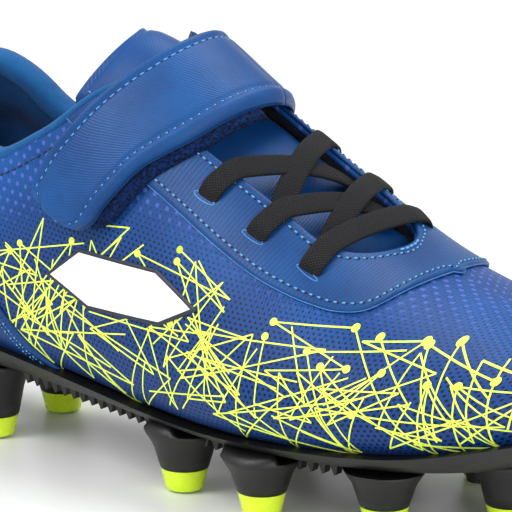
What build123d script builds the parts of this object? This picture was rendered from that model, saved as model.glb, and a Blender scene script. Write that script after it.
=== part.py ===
from build123d import *
from functools import lru_cache
import math
import os

# A child's right football boot: moulded studs, elastic lace, hook-and-loop strap over the instep.
# X runs from heel to toe, Y to the medial side (left as worn), Z up. All sizes are in millimetres.
# The curves below are drawn for a boot of DRAWN_LENGTH by DRAWN_WIDTH; the boot is graded to LENGTH and BALL_WIDTH.
# Heights in them count from the sole plate's underside at the ball, which is STUD_HEIGHT above the ground.

# ---- driving sizes ----
LENGTH = 200.0          # upper, heel to toe
BALL_WIDTH = 74.0       # upper, across the ball of the foot
STUD_HEIGHT = 12.0      # ground to the plate's underside at the ball
TIP_HEIGHT = 5.2        # coloured end of a stud
TIP_RADIUS = 4.3        # at the ground
TIP_FLARE = 1.2         # how much wider a stud tip is at its top
POST_FLARE = 2.6        # how much wider a stud post is where it meets the plate
BAND_THICKNESS = 2.4    # side band of the outsole, outside the upper
UPPER_THICKNESS = 1.2
INTERLINING = 0.6       # foam-backed interlining, heel counter and toe puff
LINING_GAP = 0.4        # between that layer and the lining
COUNTER_GAP = 0.6       # between the interlining and the heel counter
LINING = 0.6
GLUE = 0.1              # bond line between layers of one body
OVERLAY = 1.0           # eyestay and heel overlay
MARK_THICKNESS = 0.4
COLLAR_PAD = 3.2        # extra thickness of the padded collar
COLLAR_DEPTH = 20.0     # how far the padding reaches below the top line
BINDING = 1.4
BOARD_THICKNESS = 1.6
SOCK_LINER_FOAM = 3.4
SOCK_LINER_COVER = 0.6
THROAT_NEAR = -15.0     # lateral edge of the lace opening
THROAT_FAR = 12.0       # medial edge
THROAT_END = 153.0      # front end of the lace opening
TONGUE_FOAM = 3.0
TONGUE_CLOTH = 0.8      # tongue face and tongue lining
TONGUE_CLEARANCE = 0.4  # tongue to lining
STRAP_WIDTH = 18.6
STRAP_LAYER = 1.25      # each of the strap's two layers
LOOP_PATCH = 1.5
HOOK_CLEARANCE = 0.3    # between hooks and loops
HINGE_GAP = 1.6         # slit between two stretches of a folding piece
PIVOT_STANDOFF = 1.2    # fold lines lie this far outside the folded piece
LACE_WIDTH = 4.8
LACE_THICKNESS = 1.1

DRAWN_LENGTH = 200.0
DRAWN_WIDTH = 74.0
GRADE_X = LENGTH / DRAWN_LENGTH
GRADE_Y = BALL_WIDTH / DRAWN_WIDTH

# ---- lengthwise curves of the upper: (distance from the heel, value) ----
CENTRE = [(0, 0), (50, -0.5), (80, -1.8), (110, -1.5), (130, -0.5), (150, 1), (170, 3.2), (185, 5), (200, 6.5)]
HALF_WIDTH = [(0, 24.5), (25, 25), (50, 25), (80, 27.5), (110, 33), (130, 36.5), (145, 37), (200, 37)]
FLOOR = [(0, 11), (54, 9.5), (80, 6.5), (118, 3), (150, 2.5), (175, 4), (190, 6.5), (200, 8.5)]
PLATE = [(0, 5), (54, 5), (80, 3.2), (118, 0.4), (150, 0), (175, 1), (190, 3.5), (200, 6)]
BAND_TOP = [(-10, 15), (0, 14.5), (54, 14), (80, 10.5), (118, 6.3), (148, 6.5), (175, 8), (190, 10.5), (210, 13)]
WIDEST = [(0, 30), (54, 26), (80, 23), (118, 17), (150, 15.5), (175, 16.5), (200, 19)]
RIDGE = [(0, 100), (60, 100), (84, 95), (95, 88), (109, 79), (124, 68.5), (140, 57.5), (154, 47.5),
         (166, 40.5), (177, 35.5), (188, 32), (200, 29)]
RIDGE_SHIFT = [(0, 0), (84, 1), (110, 3), (130, 4), (150, 6), (170, 8), (200, 9)]
SQUARENESS = [(0, 2), (50, 2), (84, 1.85), (110, 1.7), (130, 1.68), (150, 1.75), (170, 1.95), (200, 2.2)]
TONGUE_RIDGE = [(0, 93), (60, 92.5), (75, 92), (84, 91), (92, 88), (100, 83.5), (109, 78), (124, 68.5),
                (140, 57.5), (154, 47.5), (166, 40.5), (200, 29)]
COLLAR_TOP = [(-12, 76), (0, 76), (14, 76), (28, 75.2), (36, 71), (43, 65.3), (50, 61.8), (56, 61), (61.4, 63),
              (65.5, 65.3), (69.6, 67.6), (73.9, 70.7), (78, 74.2), (84.6, 78.4), (90, 80.5), (100, 84)]
BOTTOM_SQUARENESS = 3.2
BOTTOM_TUCK = 0.06

# ---- outlines in the side view: (distance from the heel, height) ----
EYESTAY_EDGE = [(75.5, 69.8), (101.1, 57.1), (121.1, 46.4), (134.9, 40.3), (145.3, 37.1), (151.1, 36),
                (156.9, 36.5), (160.2, 38.8), (163.4, 41.8)]
HEEL_OVERLAY_EDGE = [(-12, 66), (14, 61), (34, 46), (50, 33), (59.2, 24.1), (67.8, 16.4), (78, 9.5)]
COUNTER_EDGE = [(-12, 50), (22, 47), (42, 34), (54, 13)]
TOE_PUFF_START = 166.0
STRAP_CENTRE = [(82.5, 55), (84.4, 58.5), (87.3, 62.5), (91.6, 68.3), (95.6, 72.9), (100.6, 78), (105.4, 82.8),
                (110.4, 88), (115.4, 93)]
STRAP_END = 6.5         # rounded end beyond the first centre point
LOOP_PATCH_REACH = 1.2  # how far the loop patch stands out past the strap's edges
HINGE_LATERAL = (96.8, 74.2)    # where the closing tab folds, on the strap's centre line
HINGE_MEDIAL = (88.0, 63.5)     # where the strap folds open, on its centre line
STRAP_LEAN = 40.0       # degrees, of the fold lines below the horizontal
TONGUE_FOLD = 104.0     # where the tongue's free end starts
TONGUE_TOP = 72.0
MARK_OUTLINE = [(74, 34.6), (84, 42), (107, 40.5), (120, 33.4), (110, 28.6), (88, 28.8)]

# ---- lace slots in the plan view: lateral and medial, from the strap down to the toe ----
SLOTS_NEAR = [(114.9, -21.5), (129.2, -23.0), (143.1, -22.4)]
SLOTS_FAR = [(120.5, 18.5), (133.5, 19.0), (145.5, 19.0)]
SLOT_WIDTH = 1.4

# ---- studs in the plan view ----
STUDS = {
    "heel_lateral_rear": (18, -13), "heel_medial_rear": (18, 13),
    "heel_lateral_front": (46, -13), "heel_medial_front": (46, 13),
    "lateral_rear": (109, -22), "lateral_middle": (134, -27), "lateral_front": (162, -20),
    "medial_rear": (109, 22), "medial_middle": (134, 27), "medial_front": (160, 25),
    "toe_lateral": (184, -3), "toe_medial": (182, 15),
}
SMALL_STUDS = [(121, 0), (147, -5), (147, 8), (172, 4)]
SMALL_STUD_RADIUS = 3.0
SMALL_STUD_HEIGHT = 5.5
RIB_PITCH = 3.0
RIB_DEPTH = 1.1
RIB_RANGES = [(60, 97), (118, 125)]

STATIONS = [0.0008, 0.006, 0.02, 0.05, 0.1, 0.17, 0.25, 0.33, 0.4, 0.46, 0.52, 0.58, 0.64, 0.7, 0.76, 0.82,
            0.88, 0.93, 0.965, 0.985, 0.9955, 0.9992]
RING_POINTS = 32
REACH = 400.0           # larger than the boot, for cutting blocks


def along(points, x):
    """Height of a smooth curve through points at x, held level past both ends."""
    count = len(points)
    slopes = []
    for i in range(count):
        low, high = max(i - 1, 0), min(i + 1, count - 1)
        if 0 < i < count - 1:
            before = points[i][0] - points[i - 1][0]
            after = points[i + 1][0] - points[i][0]
            rise_before = (points[i][1] - points[i - 1][1]) / before
            rise_after = (points[i + 1][1] - points[i][1]) / after
            slopes.append((rise_before * after + rise_after * before) / (before + after))
        else:
            slopes.append((points[high][1] - points[low][1]) / (points[high][0] - points[low][0]))
    x = min(max(x, points[0][0]), points[-1][0])
    i = max(k for k in range(count - 1) if points[k][0] <= x)
    step = points[i + 1][0] - points[i][0]
    t = (x - points[i][0]) / step
    return ((2 * t**3 - 3 * t**2 + 1) * points[i][1] + (t**3 - 2 * t**2 + t) * step * slopes[i]
            + (-2 * t**3 + 3 * t**2) * points[i + 1][1] + (t**3 - t**2) * step * slopes[i + 1])


def smooth(share):
    share = min(max(share, 0.0), 1.0)
    return share * share * (3 - 2 * share)


def rounding(distance, reach, power):
    """Grows from 0 to 1 over reach, as the end of a rounded outline does."""
    if distance >= reach:
        return 1.0
    return (1 - (1 - max(distance, 0.0) / reach)**power)**(1 / power)


def section(x, floor, ridge):
    """Centre, half width, floor, widest height, ridge height, ridge shift and squareness of the upper at x."""
    return (along(CENTRE, x), along(HALF_WIDTH, x), along(floor, x), along(WIDEST, x), along(ridge, x),
            along(RIDGE_SHIFT, x), along(SQUARENESS, x))


def ends(x):
    """How far the rounded heel and toe let the sides, the ridge and the floor reach at x, from 0 to 1."""
    toe = DRAWN_LENGTH - x
    sides = rounding(x, 24, 2.2) * rounding(toe, 55, 2.25)
    top = rounding(x, 22, 1.6) * rounding(toe, 24, 2.0)
    bottom = rounding(x, 14, 2.2) * rounding(toe, 16, 2.2)
    return sides, top, bottom


def ring(share, base, extra, floor, ridge):
    """Closed ring of points round the upper; base grows it outwards, extra(x, z, side) adds to that."""
    drawn = share * DRAWN_LENGTH
    centre, half, bottom, widest, top, shift, square = section(drawn, floor, ridge)
    side_end, top_end, bottom_end = ends(drawn)
    x = -base + share * (LENGTH + 2 * base)
    half = half * GRADE_Y
    points = []
    for k in range(RING_POINTS):
        turn = -math.pi / 2 + 2 * math.pi * k / RING_POINTS
        across, rise = math.cos(turn), math.sin(turn)
        if rise >= 0:
            lift = rise**(2 / square)
            grow = base + extra(drawn, widest + (top - widest) * top_end * lift, across)
            z = widest + (top + grow - widest) * top_end * lift
            middle = (centre + (shift - centre) * lift * side_end) * GRADE_Y
            y = middle + (half + grow) * side_end * math.copysign(abs(across)**(2 / square), across)
        else:
            drop = abs(rise)**(2 / BOTTOM_SQUARENESS)
            grow = base + extra(drawn, widest - (widest - bottom) * bottom_end * drop, across)
            z = widest - (widest - bottom + grow) * bottom_end * drop
            reach = (half + grow) * side_end * (1 - BOTTOM_TUCK * drop)
            y = centre * GRADE_Y + reach * math.copysign(abs(across)**(2 / BOTTOM_SQUARENESS), across)
        points.append((x, y, z))
    return points


def no_extra(x, z, side):
    return 0.0


def collar_pad(x, z, side):
    """Thickness that the padding adds inside the collar, tapering out below it and towards the tongue."""
    depth = (z - (along(COLLAR_TOP, x) - COLLAR_DEPTH)) / 12.0
    return -COLLAR_PAD * smooth(depth) * smooth((76.0 - x) / 14.0)


def strap_rise(x, z, side):
    """The strap lies on the loop patch on the lateral side and straight on the upper on the medial side."""
    return -(LOOP_PATCH + HOOK_CLEARANCE) * smooth((side + 0.8) / 1.6)


def swell(base, extra=no_extra, floor=FLOOR, ridge=RIDGE):
    """Solid of the upper's outer form, grown by base and by extra."""
    wires = []
    spacing = [k / RING_POINTS for k in range(RING_POINTS + 1)]
    for share in STATIONS:
        points = [Vector(*p) for p in ring(share, base, extra, floor, ridge)]
        wires.append(Wire([Edge.make_spline(points, periodic=True, parameters=spacing)]))
    return Solid.make_loft(wires)


@lru_cache(maxsize=None)
def form(base):
    return swell(base)


@lru_cache(maxsize=None)
def padded_form(base):
    return swell(base, extra=collar_pad)


@lru_cache(maxsize=None)
def tongue_form(base):
    return swell(base, ridge=TONGUE_RIDGE)


@lru_cache(maxsize=None)
def strap_form(base):
    return swell(base, extra=strap_rise)


def wall_y(x, z, grow, side):
    """Y of the outer form, grown, at a drawn x and z above its widest line; side is -1 lateral, 1 medial."""
    centre, half, bottom, widest, top, shift, square = section(x, FLOOR, RIDGE)
    lift = (z - widest) / (top + grow - widest)
    flat = (1 - lift**square)**(1 / square)
    return (centre + (shift - centre) * lift) * GRADE_Y + side * (half * GRADE_Y + grow) * flat


def side_block(points, smooth_count, near=-REACH, far=REACH):
    """Block through the boot from an outline in the side view; its first smooth_count points are on a curve."""
    placed = [Vector(x * GRADE_X, near, z) for x, z in points]
    curve = Edge.make_spline(placed[:smooth_count])
    rest = [Edge.make_line(a, b) for a, b in zip(placed[smooth_count - 1:], placed[smooth_count:] + placed[:1])]
    return Solid.extrude(Face(Wire([curve] + rest)), Vector(0, far - near, 0))


def plan_block(points, low=18.0, high=REACH):
    """Upright block from an outline in the plan view, above the foot bed."""
    placed = [Vector(x * GRADE_X, y * GRADE_Y, low) for x, y in points]
    return Solid.extrude(Face(Wire.make_polygon(placed, close=True)), Vector(0, 0, high - low))


def under(curve, rise=0.0):
    """Everything lower than a lengthwise curve raised by rise."""
    points = [(x, along(curve, x) + rise) for x in range(-10, 211, 10)]
    return side_block(points + [(210, -REACH), (-10, -REACH)], len(points))


def above_collar(rise=0.0):
    """Everything above the collar's top line raised by rise, back from the tongue."""
    points = [(x, z + rise) for x, z in COLLAR_TOP]
    return side_block(points + [(100, REACH), (-12, REACH)], len(points))


@lru_cache(maxsize=None)
def throat(margin=0.0):
    """The lace opening, grown by margin."""
    near, far, end = THROAT_NEAR - margin, THROAT_FAR + margin, THROAT_END + margin
    corner = 6.0
    points = [(60, near), (end - 9, near), (end - 9 + corner * 0.7, near + corner * 0.45), (end, near + 14),
              (end, far - 6), (end - 2, far - 2), (end - 6, far), (60, far)]
    return plan_block(points)


def layer(inner, outer, block):
    """What of a block lies between an inner and an outer form."""
    return (block & outer) - inner


def shell(inner, outer):
    """A wall of the upper between two forms, open at the collar, at the throat and at the bottom."""
    wall = outer - inner
    wall = wall - above_collar(-BINDING - GLUE)
    return wall - throat()


def make_upper():
    wall = shell(form(-UPPER_THICKNESS), form(0.0))
    wall = wall - under(FLOOR, UPPER_THICKNESS + 0.2)
    for cutter in slot_cutters():
        wall = wall - cutter
    return wall


def make_strobel_sock():
    block = form(0.0) & under(FLOOR, UPPER_THICKNESS + GLUE)
    return block - form(-UPPER_THICKNESS)


LAYER_1 = -(UPPER_THICKNESS + GLUE)         # outside of interlining, counter and puff
LAYER_2 = LAYER_1 - INTERLINING             # their inside
LINING_OUT = LAYER_2 - LINING_GAP
LINING_IN = LINING_OUT - LINING
BOARD_TOP = -LAYER_1 + BOARD_THICKNESS      # above FLOOR


def make_insole_board():
    return form(LAYER_1) & under(FLOOR, BOARD_TOP)


def make_sock_liner_foam():
    return form(LINING_IN - 0.15) & under(FLOOR, BOARD_TOP + SOCK_LINER_FOAM)


def make_sock_liner_cover():
    low = BOARD_TOP + SOCK_LINER_FOAM + GLUE / 2
    return (form(LINING_IN - 0.15) & under(FLOOR, low + SOCK_LINER_COVER)) - under(FLOOR, low)


def counter_block(margin=0.0):
    points = [(x + margin, z + margin) for x, z in COUNTER_EDGE]
    low = COUNTER_EDGE[-1][1] - GLUE - margin
    return side_block(points + [(points[-1][0], low), (-12, low)], len(points))


def puff_block(margin=0.0):
    start = TOE_PUFF_START - margin
    return side_block([(start, -20), (start - 4, 20), (start, 80), (230, 80), (230, -20)], 3)


def collar_block(margin=0.0):
    """The padded zone under the top line."""
    low = -COLLAR_DEPTH - margin
    points = [(x, z + low) for x, z in COLLAR_TOP if x < 80]
    edge = 76 + margin
    points = [p for p in points if p[0] < edge - 1] + [(edge, along(COLLAR_TOP, edge) + low)]
    return side_block(points + [(edge, REACH), (-12, REACH)], len(points))


def make_heel_counter():
    return layer(form(LAYER_2), form(LAYER_1), counter_block()) - under(FLOOR, BOARD_TOP + GLUE)


def make_toe_puff():
    return layer(form(LAYER_2), form(LAYER_1), puff_block()) - under(FLOOR, BOARD_TOP + GLUE)


def make_interlining():
    wall = shell(form(LAYER_2), form(LAYER_1))
    wall = wall - under(FLOOR, BOARD_TOP + GLUE)
    wall = wall - counter_block(COUNTER_GAP)
    wall = wall - puff_block(0.2)
    return wall - collar_block(0.2)


def make_collar_foam():
    wall = layer(padded_form(LAYER_2), form(LAYER_1), collar_block())
    wall = wall - above_collar(-BINDING - GLUE)
    return wall - throat()


def make_lining():
    wall = shell(padded_form(LINING_IN), padded_form(LINING_OUT))
    return wall - under(FLOOR, BOARD_TOP + GLUE)


def make_collar_binding():
    wall = padded_form(LINING_IN)
    band = (form(0.4) - wall) & above_collar(-BINDING)
    band = band - above_collar()
    return band - throat()


def make_heel_overlay():
    block = side_block(HEEL_OVERLAY_EDGE + [(-12, 9.5)], len(HEEL_OVERLAY_EDGE))
    piece = layer(form(GLUE), form(GLUE + OVERLAY), block)
    return piece - under(BAND_TOP, 0.15)


def make_backstay():
    low, high = GLUE * 2 + OVERLAY, GLUE * 2 + 2 * OVERLAY
    block = Pos(0, 0, 47) * Box(16, 12, 50)
    return layer(form(low), form(high), block.solid())


def eyestay_block():
    return side_block(EYESTAY_EDGE + [(163.6, 90), (100, 130), (71, 82)], len(EYESTAY_EDGE))


def slot_cutters():
    """Upright slots for the lace, each lying along the edge of the opening."""
    cutters = []
    for near, far in zip(SLOTS_NEAR, SLOTS_FAR):
        for x, y in (near, far):
            side = -1 if y < 0 else 1
            slot = Rot(0, 0, side * -3) * Box(LACE_WIDTH + 0.6, SLOT_WIDTH, 60)
            cutters.append((Pos(x * GRADE_X, y * GRADE_Y, 58) * slot).solid())
    return cutters


def make_eyestay():
    piece = layer(form(GLUE), form(GLUE + OVERLAY), eyestay_block()) - throat()
    piece = piece - above_collar(-BINDING - GLUE)
    for cutter in slot_cutters():
        piece = piece - cutter
    return piece


def make_side_mark():
    placed = [Vector(x * GRADE_X, -REACH, z) for x, z in MARK_OUTLINE]
    face = Face(Wire.make_polygon(placed, close=True))
    block = Solid.extrude(face, Vector(0, REACH, 0))
    return layer(form(GLUE), form(GLUE + MARK_THICKNESS), block)


TONGUE_OUT = LINING_IN - TONGUE_CLEARANCE
TONGUE_LAYERS = {
    "face": (TONGUE_OUT - TONGUE_CLOTH, TONGUE_OUT),
    "foam": (TONGUE_OUT - TONGUE_CLOTH - GLUE - TONGUE_FOAM, TONGUE_OUT - TONGUE_CLOTH - GLUE),
    "lining": (TONGUE_OUT - 2 * (TONGUE_CLOTH + GLUE) - TONGUE_FOAM,
               TONGUE_OUT - TONGUE_CLOTH - 2 * GLUE - TONGUE_FOAM),
}


def make_tongue(layer_name, moving):
    """One layer of the tongue's fixed part, or of its free end, which tilts about the fold."""
    inner, outer = TONGUE_LAYERS[layer_name]
    half_gap = HINGE_GAP / 2
    if moving:
        near, far = THROAT_NEAR + TONGUE_CLEARANCE, THROAT_FAR - TONGUE_CLEARANCE
        end = TONGUE_FOLD - half_gap
        points = [(TONGUE_TOP - 2, near), (TONGUE_TOP + 3, near + 5), (TONGUE_TOP + 6, -2), (TONGUE_TOP + 3, far - 5),
                  (TONGUE_TOP - 2, far), (end, far), (end, near)]
    else:
        near, far = THROAT_NEAR - 6, THROAT_FAR + 6
        start = TONGUE_FOLD + half_gap
        points = [(start, near), (THROAT_END - 6, near), (THROAT_END + 6, near + 8), (THROAT_END + 6, far - 8),
                  (THROAT_END - 6, far), (start, far)]
    return layer(tongue_form(inner), tongue_form(outer), plan_block(points, low=30.0))


def strap_outline(margin):
    """Outline of the strap in the side view, from its rounded end up past the instep."""
    left, right = [], []
    half = STRAP_WIDTH / 2 + margin
    for i, (x, z) in enumerate(STRAP_CENTRE):
        before, after = STRAP_CENTRE[max(i - 1, 0)], STRAP_CENTRE[min(i + 1, len(STRAP_CENTRE) - 1)]
        dx, dz = after[0] - before[0], after[1] - before[1]
        size = math.hypot(dx, dz)
        left.append((x - half * dz / size / GRADE_X, z + half * dx / size))
        right.append((x + half * dz / size / GRADE_X, z - half * dx / size))
    x, z = STRAP_CENTRE[0]
    bulge = STRAP_END + margin
    tip = (x - bulge * 0.45, z - bulge * 0.9)
    low_left = (left[0][0] * 0.62 + tip[0] * 0.38 - bulge * 0.28, left[0][1] * 0.4 + tip[1] * 0.6 + 0.6)
    low_right = (right[0][0] * 0.62 + tip[0] * 0.38 - bulge * 0.12, right[0][1] * 0.4 + tip[1] * 0.6 - bulge * 0.2)
    return left[::-1] + [low_left, tip, low_right] + right


def strap_block(margin=0.0):
    points = strap_outline(margin)
    return side_block(points, len(points))


def fold_box(hinge, side, gap):
    """Everything on one side of the boot that lies beyond a fold, widened by gap."""
    x, z = hinge
    lean = math.radians(STRAP_LEAN)
    up = Vector(math.sin(lean), 0, math.cos(lean))
    origin = Vector(x * GRADE_X, 0, z) + up * gap
    plane = Plane(origin=origin, x_dir=(math.cos(lean), 0, -math.sin(lean)), z_dir=up)
    half = REACH / 4
    box = plane * Pos(0, side * half, -half) * Box(2 * half, 2 * half, 2 * half)
    return box.solid()


STRAP_IN = GLUE + OVERLAY + GLUE + LOOP_PATCH + HOOK_CLEARANCE
STRAP_LAYERS = {
    "backing": (STRAP_IN, STRAP_IN + STRAP_LAYER),
    "face": (STRAP_IN + STRAP_LAYER + GLUE, STRAP_IN + 2 * STRAP_LAYER + GLUE),
}


def make_strap(layer_name, stretch):
    """One layer of one stretch of the strap: sewn_end, bridge or tab."""
    inner, outer = STRAP_LAYERS[layer_name]
    band = layer(strap_form(inner), strap_form(outer), strap_block())
    half_gap = HINGE_GAP / 2
    if stretch == "sewn_end":
        return band & fold_box(HINGE_MEDIAL, 1, -half_gap)
    if stretch == "tab":
        return band & fold_box(HINGE_LATERAL, -1, -half_gap)
    band = band - fold_box(HINGE_MEDIAL, 1, half_gap)
    return band - fold_box(HINGE_LATERAL, -1, half_gap)


def make_loop_patch():
    low = GLUE + OVERLAY + GLUE
    block = strap_block(LOOP_PATCH_REACH) & fold_box(HINGE_LATERAL, -1, 0.0)
    return layer(form(low), form(low + LOOP_PATCH), block)


def strip(start, end, low):
    """A run of the flat lace: a straight strip in the plan view that follows the upper's form."""
    ax, ay = start[0] * GRADE_X, start[1] * GRADE_Y
    bx, by = end[0] * GRADE_X, end[1] * GRADE_Y
    size = math.hypot(bx - ax, by - ay)
    nx, ny = -(by - ay) / size * LACE_WIDTH / 2, (bx - ax) / size * LACE_WIDTH / 2
    corners = [(ax + nx, ay + ny), (bx + nx, by + ny), (bx - nx, by - ny), (ax - nx, ay - ny)]
    placed = [Vector(x, y, 18) for x, y in corners]
    block = Solid.extrude(Face(Wire.make_polygon(placed, close=True)), Vector(0, 0, REACH))
    return layer(form(low), form(low + LACE_THICKNESS), block)


LACE_LOW = GLUE + OVERLAY + GLUE
LACE_HIGH = LACE_LOW + LACE_THICKNESS + GLUE


def make_laces():
    """Runs of the elastic lace: the lower ones leave the lateral slots, the upper ones the medial slots."""
    runs = {}
    pairs = list(zip(SLOTS_NEAR, SLOTS_FAR))
    for i in range(len(pairs) - 1):
        near, far = pairs[i]
        next_near, next_far = pairs[i + 1]
        runs["lace_lateral_run_" + str(i + 1)] = strip(near, (next_far[0] - 5, THROAT_FAR), LACE_LOW)
        runs["lace_medial_run_" + str(i + 1)] = strip(far, (next_near[0] - 5.5, THROAT_NEAR), LACE_HIGH)
    runs["lace_front_run"] = strip(pairs[-1][0], pairs[-1][1], LACE_LOW)
    return runs


def stud_post(x, y, radius, height, flare):
    """A tapered post from height above the ground up into the plate."""
    low = height - STUD_HEIGHT
    high = along(PLATE, x) + 1.6
    cone = Cone(radius, radius + flare, high - low, align=(Align.CENTER, Align.CENTER, Align.MIN))
    return Pos(x * GRADE_X, y * GRADE_Y, low) * cone


def make_outsole():
    block = under(BAND_TOP)
    sole = layer(form(0.12), swell(BAND_THICKNESS, floor=[(x, z + BAND_THICKNESS) for x, z in PLATE]), block)
    for start, end in RIB_RANGES:
        count = int((end - start) / RIB_PITCH)
        for k in range(count):
            x = start + k * RIB_PITCH
            z = along(PLATE, x)
            points = [(x, z + RIB_DEPTH), (x + RIB_PITCH / 2, z - 1.5), (x - RIB_PITCH / 2, z - 1.5)]
            placed = [Vector(a * GRADE_X, -REACH, b) for a, b in points]
            notch = Solid.extrude(Face(Wire.make_polygon(placed, close=True)), Vector(0, 2 * REACH, 0))
            sole = sole - notch
    posts = [stud_post(x, y, TIP_RADIUS + TIP_FLARE, TIP_HEIGHT + 0.05, POST_FLARE) for x, y in STUDS.values()]
    posts += [stud_post(x, y, SMALL_STUD_RADIUS, STUD_HEIGHT - SMALL_STUD_HEIGHT, 1.2) for x, y in SMALL_STUDS]
    for post in posts:
        sole = sole + post.solid()
    return sole


def make_stud_tip(x, y):
    cone = Cone(TIP_RADIUS, TIP_RADIUS + TIP_FLARE, TIP_HEIGHT, align=(Align.CENTER, Align.CENTER, Align.MIN))
    cone = fillet(cone.edges().sort_by(Axis.Z)[0], 0.9)
    return Pos(x * GRADE_X, y * GRADE_Y, -STUD_HEIGHT) * cone


def make_all():
    """Every piece, by name, still in the drawing's own frame."""
    pieces = {"outsole": make_outsole()}
    for name, (x, y) in STUDS.items():
        pieces["stud_tip_" + name] = make_stud_tip(x, y)
    pieces["strobel_sock"] = make_strobel_sock()
    pieces["insole_board"] = make_insole_board()
    pieces["sock_liner_foam"] = make_sock_liner_foam()
    pieces["sock_liner_cover"] = make_sock_liner_cover()
    pieces["upper"] = make_upper()
    pieces["interlining"] = make_interlining()
    pieces["heel_counter"] = make_heel_counter()
    pieces["toe_puff"] = make_toe_puff()
    pieces["collar_foam"] = make_collar_foam()
    pieces["lining"] = make_lining()
    pieces["collar_binding"] = make_collar_binding()
    pieces["heel_overlay"] = make_heel_overlay()
    pieces["backstay"] = make_backstay()
    pieces["eyestay"] = make_eyestay()
    pieces["side_mark"] = make_side_mark()
    for name in TONGUE_LAYERS:
        pieces["tongue_" + name] = make_tongue(name, False)
        pieces["tongue_end_" + name] = make_tongue(name, True)
    pieces["loop_patch"] = make_loop_patch()
    pieces["strap_sewn_end_face"] = make_strap("face", "sewn_end")
    pieces["strap_sewn_end_backing"] = make_strap("backing", "sewn_end")
    pieces["strap_bridge_face"] = make_strap("face", "bridge")
    pieces["strap_bridge_backing"] = make_strap("backing", "bridge")
    pieces["strap_tab_face"] = make_strap("face", "tab")
    pieces["strap_tab_hook"] = make_strap("backing", "tab")
    pieces.update(make_laces())
    return pieces


def solids_of(piece):
    if isinstance(piece, (list, ShapeList)):
        found = [s for p in piece for s in p.solids()]
    else:
        found = list(piece.solids())
    return sorted(found, key=lambda s: -s.volume)


def main():
    os.makedirs("parts", exist_ok=True)
    kept = {}
    for name, piece in make_all().items():
        solids = solids_of(piece)
        kept[name] = [s for s in solids if s.volume > 0.02 * solids[0].volume]
    whole = Compound([s for solids in kept.values() for s in solids]).bounding_box()
    shift = Vector(-(whole.min.X + whole.max.X) / 2, -(whole.min.Y + whole.max.Y) / 2, STUD_HEIGHT)
    print("shift", [round(v, 4) for v in tuple(shift)], "size", [round(v, 2) for v in tuple(whole.size)])
    for name, solids in kept.items():
        moved = [s.moved(Location(shift)) for s in solids]
        export_step(moved[0] if len(moved) == 1 else Compound(moved), "parts/" + name + ".step")
        print(name, len(moved), round(sum(s.volume for s in moved), 1))
    lean = math.radians(STRAP_LEAN)
    outside = STRAP_IN + 2 * STRAP_LAYER + GLUE + PIVOT_STANDOFF
    for label, (x, z), side in (("strap", HINGE_MEDIAL, 1), ("tab", HINGE_LATERAL, -1)):
        grow = outside - (LOOP_PATCH + HOOK_CLEARANCE if side > 0 else 0.0)
        pivot = Vector(x * GRADE_X, wall_y(x, z, grow, side), z) + shift
        print(label, "hinge", [round(v, 3) for v in tuple(pivot)],
              "axis", round(math.cos(lean), 4), 0, round(-math.sin(lean), 4))
    fold = Vector(TONGUE_FOLD * GRADE_X, 0, along(TONGUE_RIDGE, TONGUE_FOLD) + TONGUE_OUT + PIVOT_STANDOFF) + shift
    print("tongue hinge", [round(v, 3) for v in tuple(fold)])


main()
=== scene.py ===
import math
import random

import bmesh
import bpy
import numpy as np
from mathutils.bvhtree import BVHTree
from mathutils import Matrix, Vector


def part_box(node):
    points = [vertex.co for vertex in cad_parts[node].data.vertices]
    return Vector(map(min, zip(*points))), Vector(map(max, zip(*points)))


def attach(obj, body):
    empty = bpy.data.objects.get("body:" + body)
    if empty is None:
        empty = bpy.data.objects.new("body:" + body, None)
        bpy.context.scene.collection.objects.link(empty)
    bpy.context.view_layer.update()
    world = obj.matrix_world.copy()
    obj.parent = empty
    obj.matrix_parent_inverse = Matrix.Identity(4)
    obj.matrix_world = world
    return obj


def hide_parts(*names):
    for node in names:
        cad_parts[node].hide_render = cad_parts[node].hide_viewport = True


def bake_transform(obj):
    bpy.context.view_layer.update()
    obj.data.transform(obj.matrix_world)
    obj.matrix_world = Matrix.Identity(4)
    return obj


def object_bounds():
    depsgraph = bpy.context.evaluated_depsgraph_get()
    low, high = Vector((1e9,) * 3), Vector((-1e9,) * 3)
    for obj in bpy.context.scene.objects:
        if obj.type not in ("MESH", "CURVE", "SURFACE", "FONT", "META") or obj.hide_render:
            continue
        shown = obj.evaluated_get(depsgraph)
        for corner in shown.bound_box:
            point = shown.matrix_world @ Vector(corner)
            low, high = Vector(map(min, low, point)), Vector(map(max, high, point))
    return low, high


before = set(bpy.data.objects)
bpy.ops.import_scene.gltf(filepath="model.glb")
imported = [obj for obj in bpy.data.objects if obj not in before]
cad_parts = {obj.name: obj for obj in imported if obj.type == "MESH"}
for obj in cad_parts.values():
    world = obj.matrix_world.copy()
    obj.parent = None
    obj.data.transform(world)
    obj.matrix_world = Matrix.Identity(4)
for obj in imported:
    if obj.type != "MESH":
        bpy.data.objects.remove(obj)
cad_low, cad_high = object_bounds()

# ---------------------------------------------------------------- places and sizes, in millimetres
# The boot is drawn with x 0 at the back of the heel, y towards the inner side of the foot
# and z 0 at the underside of the plate under the ball of the foot.

HEEL_STUD = (18.0, -13.0)
STUD_HEIGHT = 12.0
tip_low, tip_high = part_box("stud_tip_heel_lateral_rear")
ORIGIN = np.array([(tip_low.x + tip_high.x) / 2 - HEEL_STUD[0] / 1000,
                   (tip_low.y + tip_high.y) / 2 - HEEL_STUD[1] / 1000,
                   tip_low.z + STUD_HEIGHT / 1000])

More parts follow.
